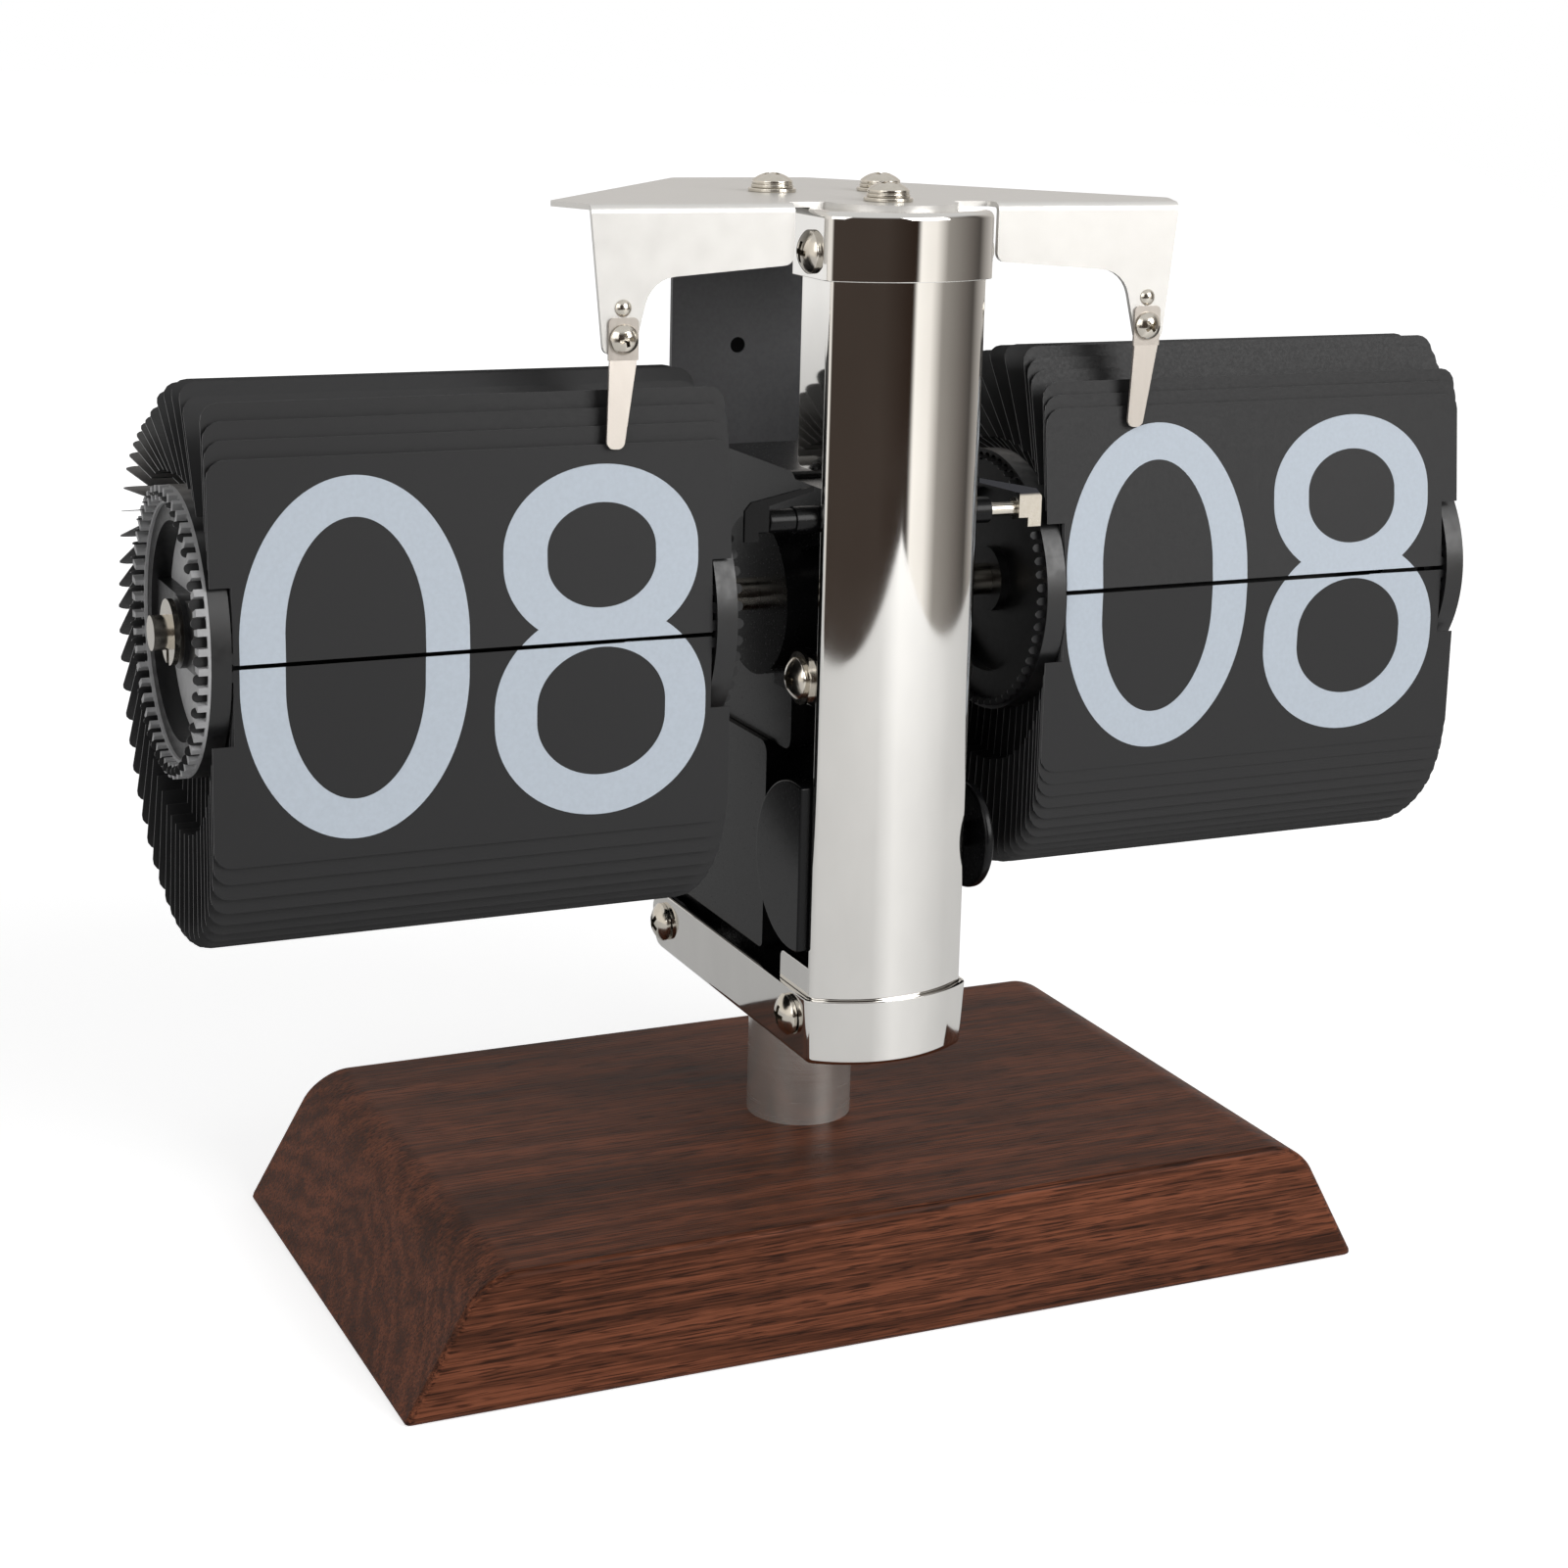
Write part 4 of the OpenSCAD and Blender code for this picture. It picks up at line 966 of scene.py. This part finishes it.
class FLIPCLOCK_OT_numbers(FlipClockOperator, bpy.types.Operator):
    """Print the numbers on the front cards, and the number before on the leaves' backs and the cards behind them"""
    bl_idname = "flip_clock.numbers"
    bl_label = "Printed numbers"

    def execute(self, context):
        settings = self.settings(context)
        sizes = settings.numbers
        ink = printed_ink(settings.finishes)
        depth = 2 * sizes.ink_height
        figures = {"zero": zero(sizes.zero_at, depth), "eight": eight(sizes.second_at, depth),
                   "seven": seven(sizes.second_at, depth)}
        for side, lean in (("hour", sizes.hour_lean), ("minute", sizes.minute_lean)):
            for name in ("zero", "eight"):
                upper = half_of(figures[name], f"{side}_{name}_upper", 1, sizes.slit)
                self.set_on_card(upper, side, sizes, lean)
                lower = half_of(figures[name], f"{side}_{name}_lower", -1, sizes.slit)
                self.set_on_leaf(lower, side, sizes, False)
                add_on(upper, ink, f"{side}_drum")
                add_on(lower, ink, f"{side}_leaf")
            for name in ("zero", "seven"):
                upper = half_of(figures[name], f"{side}_past_{name}_upper", 1, sizes.slit)
                self.set_on_leaf(upper, side, sizes, True)
                lower = self.set_behind_leaf(figures[name], f"{side}_past_{name}_lower", side, sizes)
                add_on(upper, ink, f"{side}_leaf")
                add_on(lower, ink, f"{side}_drum")
        for figure in figures.values():
            bpy.data.objects.remove(figure)
        return {"FINISHED"}

    @staticmethod
    def set_on_leaf(piece, side, sizes, at_back):
        """Lays a figure on the front of the leaf, or upside down on its back."""
        low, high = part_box(f"{side}_leaf")
        place = Vector(((low.x + high.x) / 2, high.y if at_back else low.y, high.z + sizes.slit / 2))
        piece.matrix_world = Matrix.Translation(place) @ Matrix.Rotation(pi if at_back else 0, 4, "X")
        settle(piece)

    @staticmethod
    def set_behind_leaf(figure, name, side, sizes):
        """Lays the lower half of a figure on the card that hangs behind the leaf."""
        low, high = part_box(f"{side}_leaf")
        cards = frame["nodes"][f"{side}_lower_cards"]
        into = cards.matrix_world.inverted()
        middle, split = (low.x + high.x) / 2, high.z + sizes.slit / 2
        points = []
        # Two looks from the front, near the card's top and near its foot, give the plane that it hangs in.
        for z in (split - 4 * MM, split - 24 * MM):
            hit, place = cards.ray_cast(into @ Vector((middle, -1, z)), into.to_3x3() @ Vector((0, 1, 0)))[:2]
            if not hit:
                raise RuntimeError(f"No card hangs behind the {side} leaf.")
            points.append(cards.matrix_world @ place)
        along = (points[0] - points[1]).normalized()
        start = points[0] + along * (split - points[0].z) / along.z
        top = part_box(f"{side}_lower_cards")[1].z
        piece = half_of(figure, name, -1, max(sizes.slit, 2 * (split - top)))
        piece.matrix_world = Matrix.Translation(start) @ Matrix.Rotation(-atan2(along.y, along.z), 4, "X")
        return settle(piece)

    @staticmethod
    def set_on_card(piece, side, sizes, lean):
        """Lays a figure on the front face of the leaning upper card."""
        low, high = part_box(f"{side}_leaf")
        middle = (low.x + high.x) / 2
        axle = JOINTS[f"{side}_turn"]["pos_m"]
        hinge = JOINTS[f"{side}_flip"]["pos_m"]
        step = radians(-JOINTS[f"{side}_turn"]["range_deg"][0])
        radius = hypot(hinge[1] - axle[1], hinge[2] - axle[2])
        angle = atan2(hinge[2] - axle[2], axle[1] - hinge[1]) + step
        pivot = Vector((middle, axle[1] - radius * cos(angle), axle[2] + radius * sin(angle)))
        along = Vector((0, sin(lean), cos(lean)))
        ahead = Vector((0, -cos(lean), sin(lean)))
        split = -radius * sin(step / 2)
        piece.matrix_world = Matrix.Translation(
            pivot + along * split + ahead * (sizes.set_forward + sizes.card_thickness / 2)
        ) @ Matrix.Rotation(-lean, 4, "X")
        settle(piece)


class FLIPCLOCK_OT_stage(FlipClockOperator, bpy.types.Operator):
    """Set up the camera, the white table and the light"""
    bl_idname = "flip_clock.stage"
    bl_label = "Studio"

    def execute(self, context):
        stage = self.settings(context).stage
        self.camera(context, stage)
        self.table(stage)
        self.room(context, stage)
        self.lamps(stage)
        context.scene.view_settings.view_transform = "Standard"
        return {"FINISHED"}

    @staticmethod
    def camera(context, stage):
        """Camera at the set angles, which looks at the target."""
        out = Vector((sin(stage.azimuth) * cos(stage.elevation), -cos(stage.azimuth) * cos(stage.elevation),
                      sin(stage.elevation)))
        level = Vector((0, 0, 1)).cross(out).normalized()
        upright = out.cross(level)
        right = level * cos(stage.roll) + upright * sin(stage.roll)
        up = upright * cos(stage.roll) - level * sin(stage.roll)
        data = bpy.data.cameras.new("Camera")
        data.lens = stage.lens
        data.sensor_width = 36
        data.shift_y = stage.shift_y
        camera = bpy.data.objects.new("Camera", data)
        turn = Matrix((right, up, out)).transposed().to_4x4()
        camera.matrix_world = Matrix.Translation(Vector(stage.target) + out * stage.distance) @ turn
        context.collection.objects.link(camera)
        context.scene.camera = camera

    @staticmethod
    def bearing(tree, place):
        """Direction around the clock from 0 to 1: 0.5 is straight ahead of its front, and the seam lies behind it."""
        turned = put(tree, "ShaderNodeMapping", {"Vector": place, "Rotation": (0, 0, pi / 2)}).outputs["Vector"]
        return put(tree, "ShaderNodeTexGradient", {"Vector": turned}, gradient_type="RADIAL").outputs["Fac"]

    def table(self, stage):
        """White table whose shadow stays, while its glow keeps it white for the eye and pale in polished metal."""
        clear_selection()
        bpy.ops.mesh.primitive_cube_add(size=1)
        table = named(bpy.context.object, "table_top")
        deep, wide = stage.table_left + stage.table_reach, stage.table_right + stage.table_reach
        turn = Matrix.Rotation(stage.table_turn, 4, "Z")
        middle = turn @ Vector((stage.table_right - wide / 2, deep / 2 - stage.table_left, 0))
        middle.z = -stage.table_thick / 2 - stage.table_gap
        table.matrix_world = Matrix.Translation(middle) @ turn @ Matrix.Diagonal((wide, deep, stage.table_thick, 1))
        settle(table)
        modify(table, "BEVEL", width=2 * MM, segments=3)
        material, tree, shader = new_material("Table_white", Base_Color=linear(stage.table), Roughness=0.9,
                                              Specular_IOR_Level=0.0)
        path = put(tree, "ShaderNodeLightPath")
        place = put(tree, "ShaderNodeTexCoord").outputs["Object"]
        away = put(tree, "ShaderNodeVectorMath", {0: place}, operation="LENGTH").outputs["Value"]
        # The glow grows with the distance from the clock, in metres.
        seen = put(tree, "ShaderNodeMapRange", {"Value": away, "From Min": 0.2, "From Max": 0.6,
                                                "To Min": stage.glow_seen, "To Max": stage.glow_far})
        far = put(tree, "ShaderNodeMapRange", {"Value": away, "From Min": 0.7, "From Max": 1.6, "To Min": 0.0,
                                               "To Max": stage.glow_far - stage.glow_reflected})
        # Painted reflection: for glossy rays the table glows, and this bright strip stands in for a window's light on
        # it.
        strip = put(tree, "ShaderNodeValToRGB", {"Fac": self.bearing(tree, place)}, [
            (0.505, "#000000"), (0.545, "#FFFFFF"), (0.58, "#D8D8D8"), (0.68, "#000000")])
        window = put(tree, "ShaderNodeMath", {0: strip.outputs["Color"], 1: stage.glow_window,
                                              2: stage.glow_reflected}, operation="MULTIPLY_ADD")
        mirrored = put(tree, "ShaderNodeMath", {0: window.outputs[0], 1: far.outputs["Result"]}, operation="ADD")
        glow = put(tree, "ShaderNodeMath", {0: path.outputs["Is Glossy Ray"], 1: mirrored.outputs[0]},
                   operation="MULTIPLY")
        glow = put(tree, "ShaderNodeMath", {0: path.outputs["Is Camera Ray"], 1: seen.outputs["Result"],
                                            2: glow.outputs[0]}, operation="MULTIPLY_ADD")
        shader.inputs["Emission Color"].default_value = (1, 1, 1, 1)
        tree.links.new(glow.outputs[0], shader.inputs["Emission Strength"])
        table.data.materials.append(material)

    def room(self, context, stage):
        """White backdrop for the eye, even light on the clock, and a room with a window for polished metal."""
        world = bpy.data.worlds.new("Studio")
        context.scene.world = world
        world.use_nodes = True
        tree = world.node_tree
        path = put(tree, "ShaderNodeLightPath")
        place = put(tree, "ShaderNodeTexCoord").outputs["Generated"]
        walls = put(tree, "ShaderNodeValToRGB", {"Fac": self.bearing(tree, place)}, [
            (0.03, "#C8C5C1"), (0.31, "#E6E2DD"), (0.36, stage.room_dark), (0.49, stage.room_dark),
            (0.557, "#2B211B"), (0.566, "#FFFCF7"), (0.6, "#F4F0EB"), (0.63, "#928E89"), (0.69, "#6A6561"),
            (0.722, "#4A4643"), (0.74, "#8A8682"), (0.77, "#BEBAB6")])
        # High up, the walls give way to an even grey ceiling.
        height = put(tree, "ShaderNodeSeparateXYZ", {"Vector": place}).outputs["Z"]
        above = put(tree, "ShaderNodeMapRange", {"Value": height, "From Min": 0.45, "From Max": 0.7})
        seen = put(tree, "ShaderNodeMix", {"Factor": above.outputs["Result"], "A": walls.outputs["Color"],
                                           "B": (0.6, 0.6, 0.6, 1.0)}, data_type="RGBA")
        reflected = put(tree, "ShaderNodeBackground", {"Color": seen.outputs["Result"], "Strength": stage.room_level})
        dome = put(tree, "ShaderNodeBackground", {"Color": (1, 1, 1, 1), "Strength": stage.dome})
        white = put(tree, "ShaderNodeBackground", {"Color": (1, 1, 1, 1), "Strength": 1.0})
        lit = put(tree, "ShaderNodeMixShader", {0: path.outputs["Is Glossy Ray"], 1: dome.outputs[0],
                                                2: reflected.outputs[0]})
        shown = put(tree, "ShaderNodeMixShader", {0: path.outputs["Is Camera Ray"], 1: lit.outputs[0],
                                                  2: white.outputs[0]})
        tree.links.new(shown.outputs[0], tree.nodes["World Output"].inputs["Surface"])

    @staticmethod
    def lamps(stage):
        """Two large soft lamps that look at the target."""
        for name, place, size, watts in (("Key", stage.key_place, stage.key_size, stage.key),
                                         ("Fill", stage.fill_place, stage.fill_size, stage.fill)):
            data = bpy.data.lights.new(name, "AREA")
            data.shape = "SQUARE"
            data.size = size
            data.energy = watts
            lamp = bpy.data.objects.new(name, data)
            aim = Vector(stage.target) - Vector(place)
            # The lamp shines along its own -Z.
            lamp.matrix_world = Matrix.Translation(place) @ aim.to_track_quat("-Z", "Y").to_matrix().to_4x4()
            bpy.context.collection.objects.link(lamp)


OPERATORS = (FLIPCLOCK_OT_wood, FLIPCLOCK_OT_stand, FLIPCLOCK_OT_fasteners, FLIPCLOCK_OT_mechanism,
             FLIPCLOCK_OT_drums, FLIPCLOCK_OT_numbers, FLIPCLOCK_OT_stage)


class FLIPCLOCK_PT_panel(bpy.types.Panel):
    """Sidebar panel with the clock's settings and steps"""
    bl_label = "Flip clock"
    bl_idname = "FLIPCLOCK_PT_panel"
    bl_space_type = "VIEW_3D"
    bl_region_type = "UI"
    bl_category = "Flip clock"

    def draw(self, context):
        settings = context.scene.flip_clock
        for group in (settings.finishes, settings.shapes, settings.screws, settings.numbers, settings.stage):
            box = self.layout.box()
            for name in group.__annotations__:
                box.prop(group, name)
        for step in OPERATORS:
            self.layout.operator(step.bl_idname)


CLASSES = (FlipClockFinishes, FlipClockShapes, FlipClockScrews, FlipClockNumbers, FlipClockStage, FlipClockSettings,
           *OPERATORS, FLIPCLOCK_PT_panel)


def register():
    for item in CLASSES:
        bpy.utils.register_class(item)
    bpy.types.Scene.flip_clock = PointerProperty(type=FlipClockSettings)


def unregister():
    del bpy.types.Scene.flip_clock
    for item in reversed(CLASSES):
        bpy.utils.unregister_class(item)


def main():
    """Builds the looks of the whole clock in order and keeps its sizes."""
    register()
    bpy.ops.flip_clock.wood()
    bpy.ops.flip_clock.stand()
    bpy.ops.flip_clock.fasteners()
    bpy.ops.flip_clock.mechanism()
    bpy.ops.flip_clock.drums()
    bpy.ops.flip_clock.numbers()
    bpy.ops.flip_clock.stage()
    clear_selection()


if __name__ == "__main__":
    main()
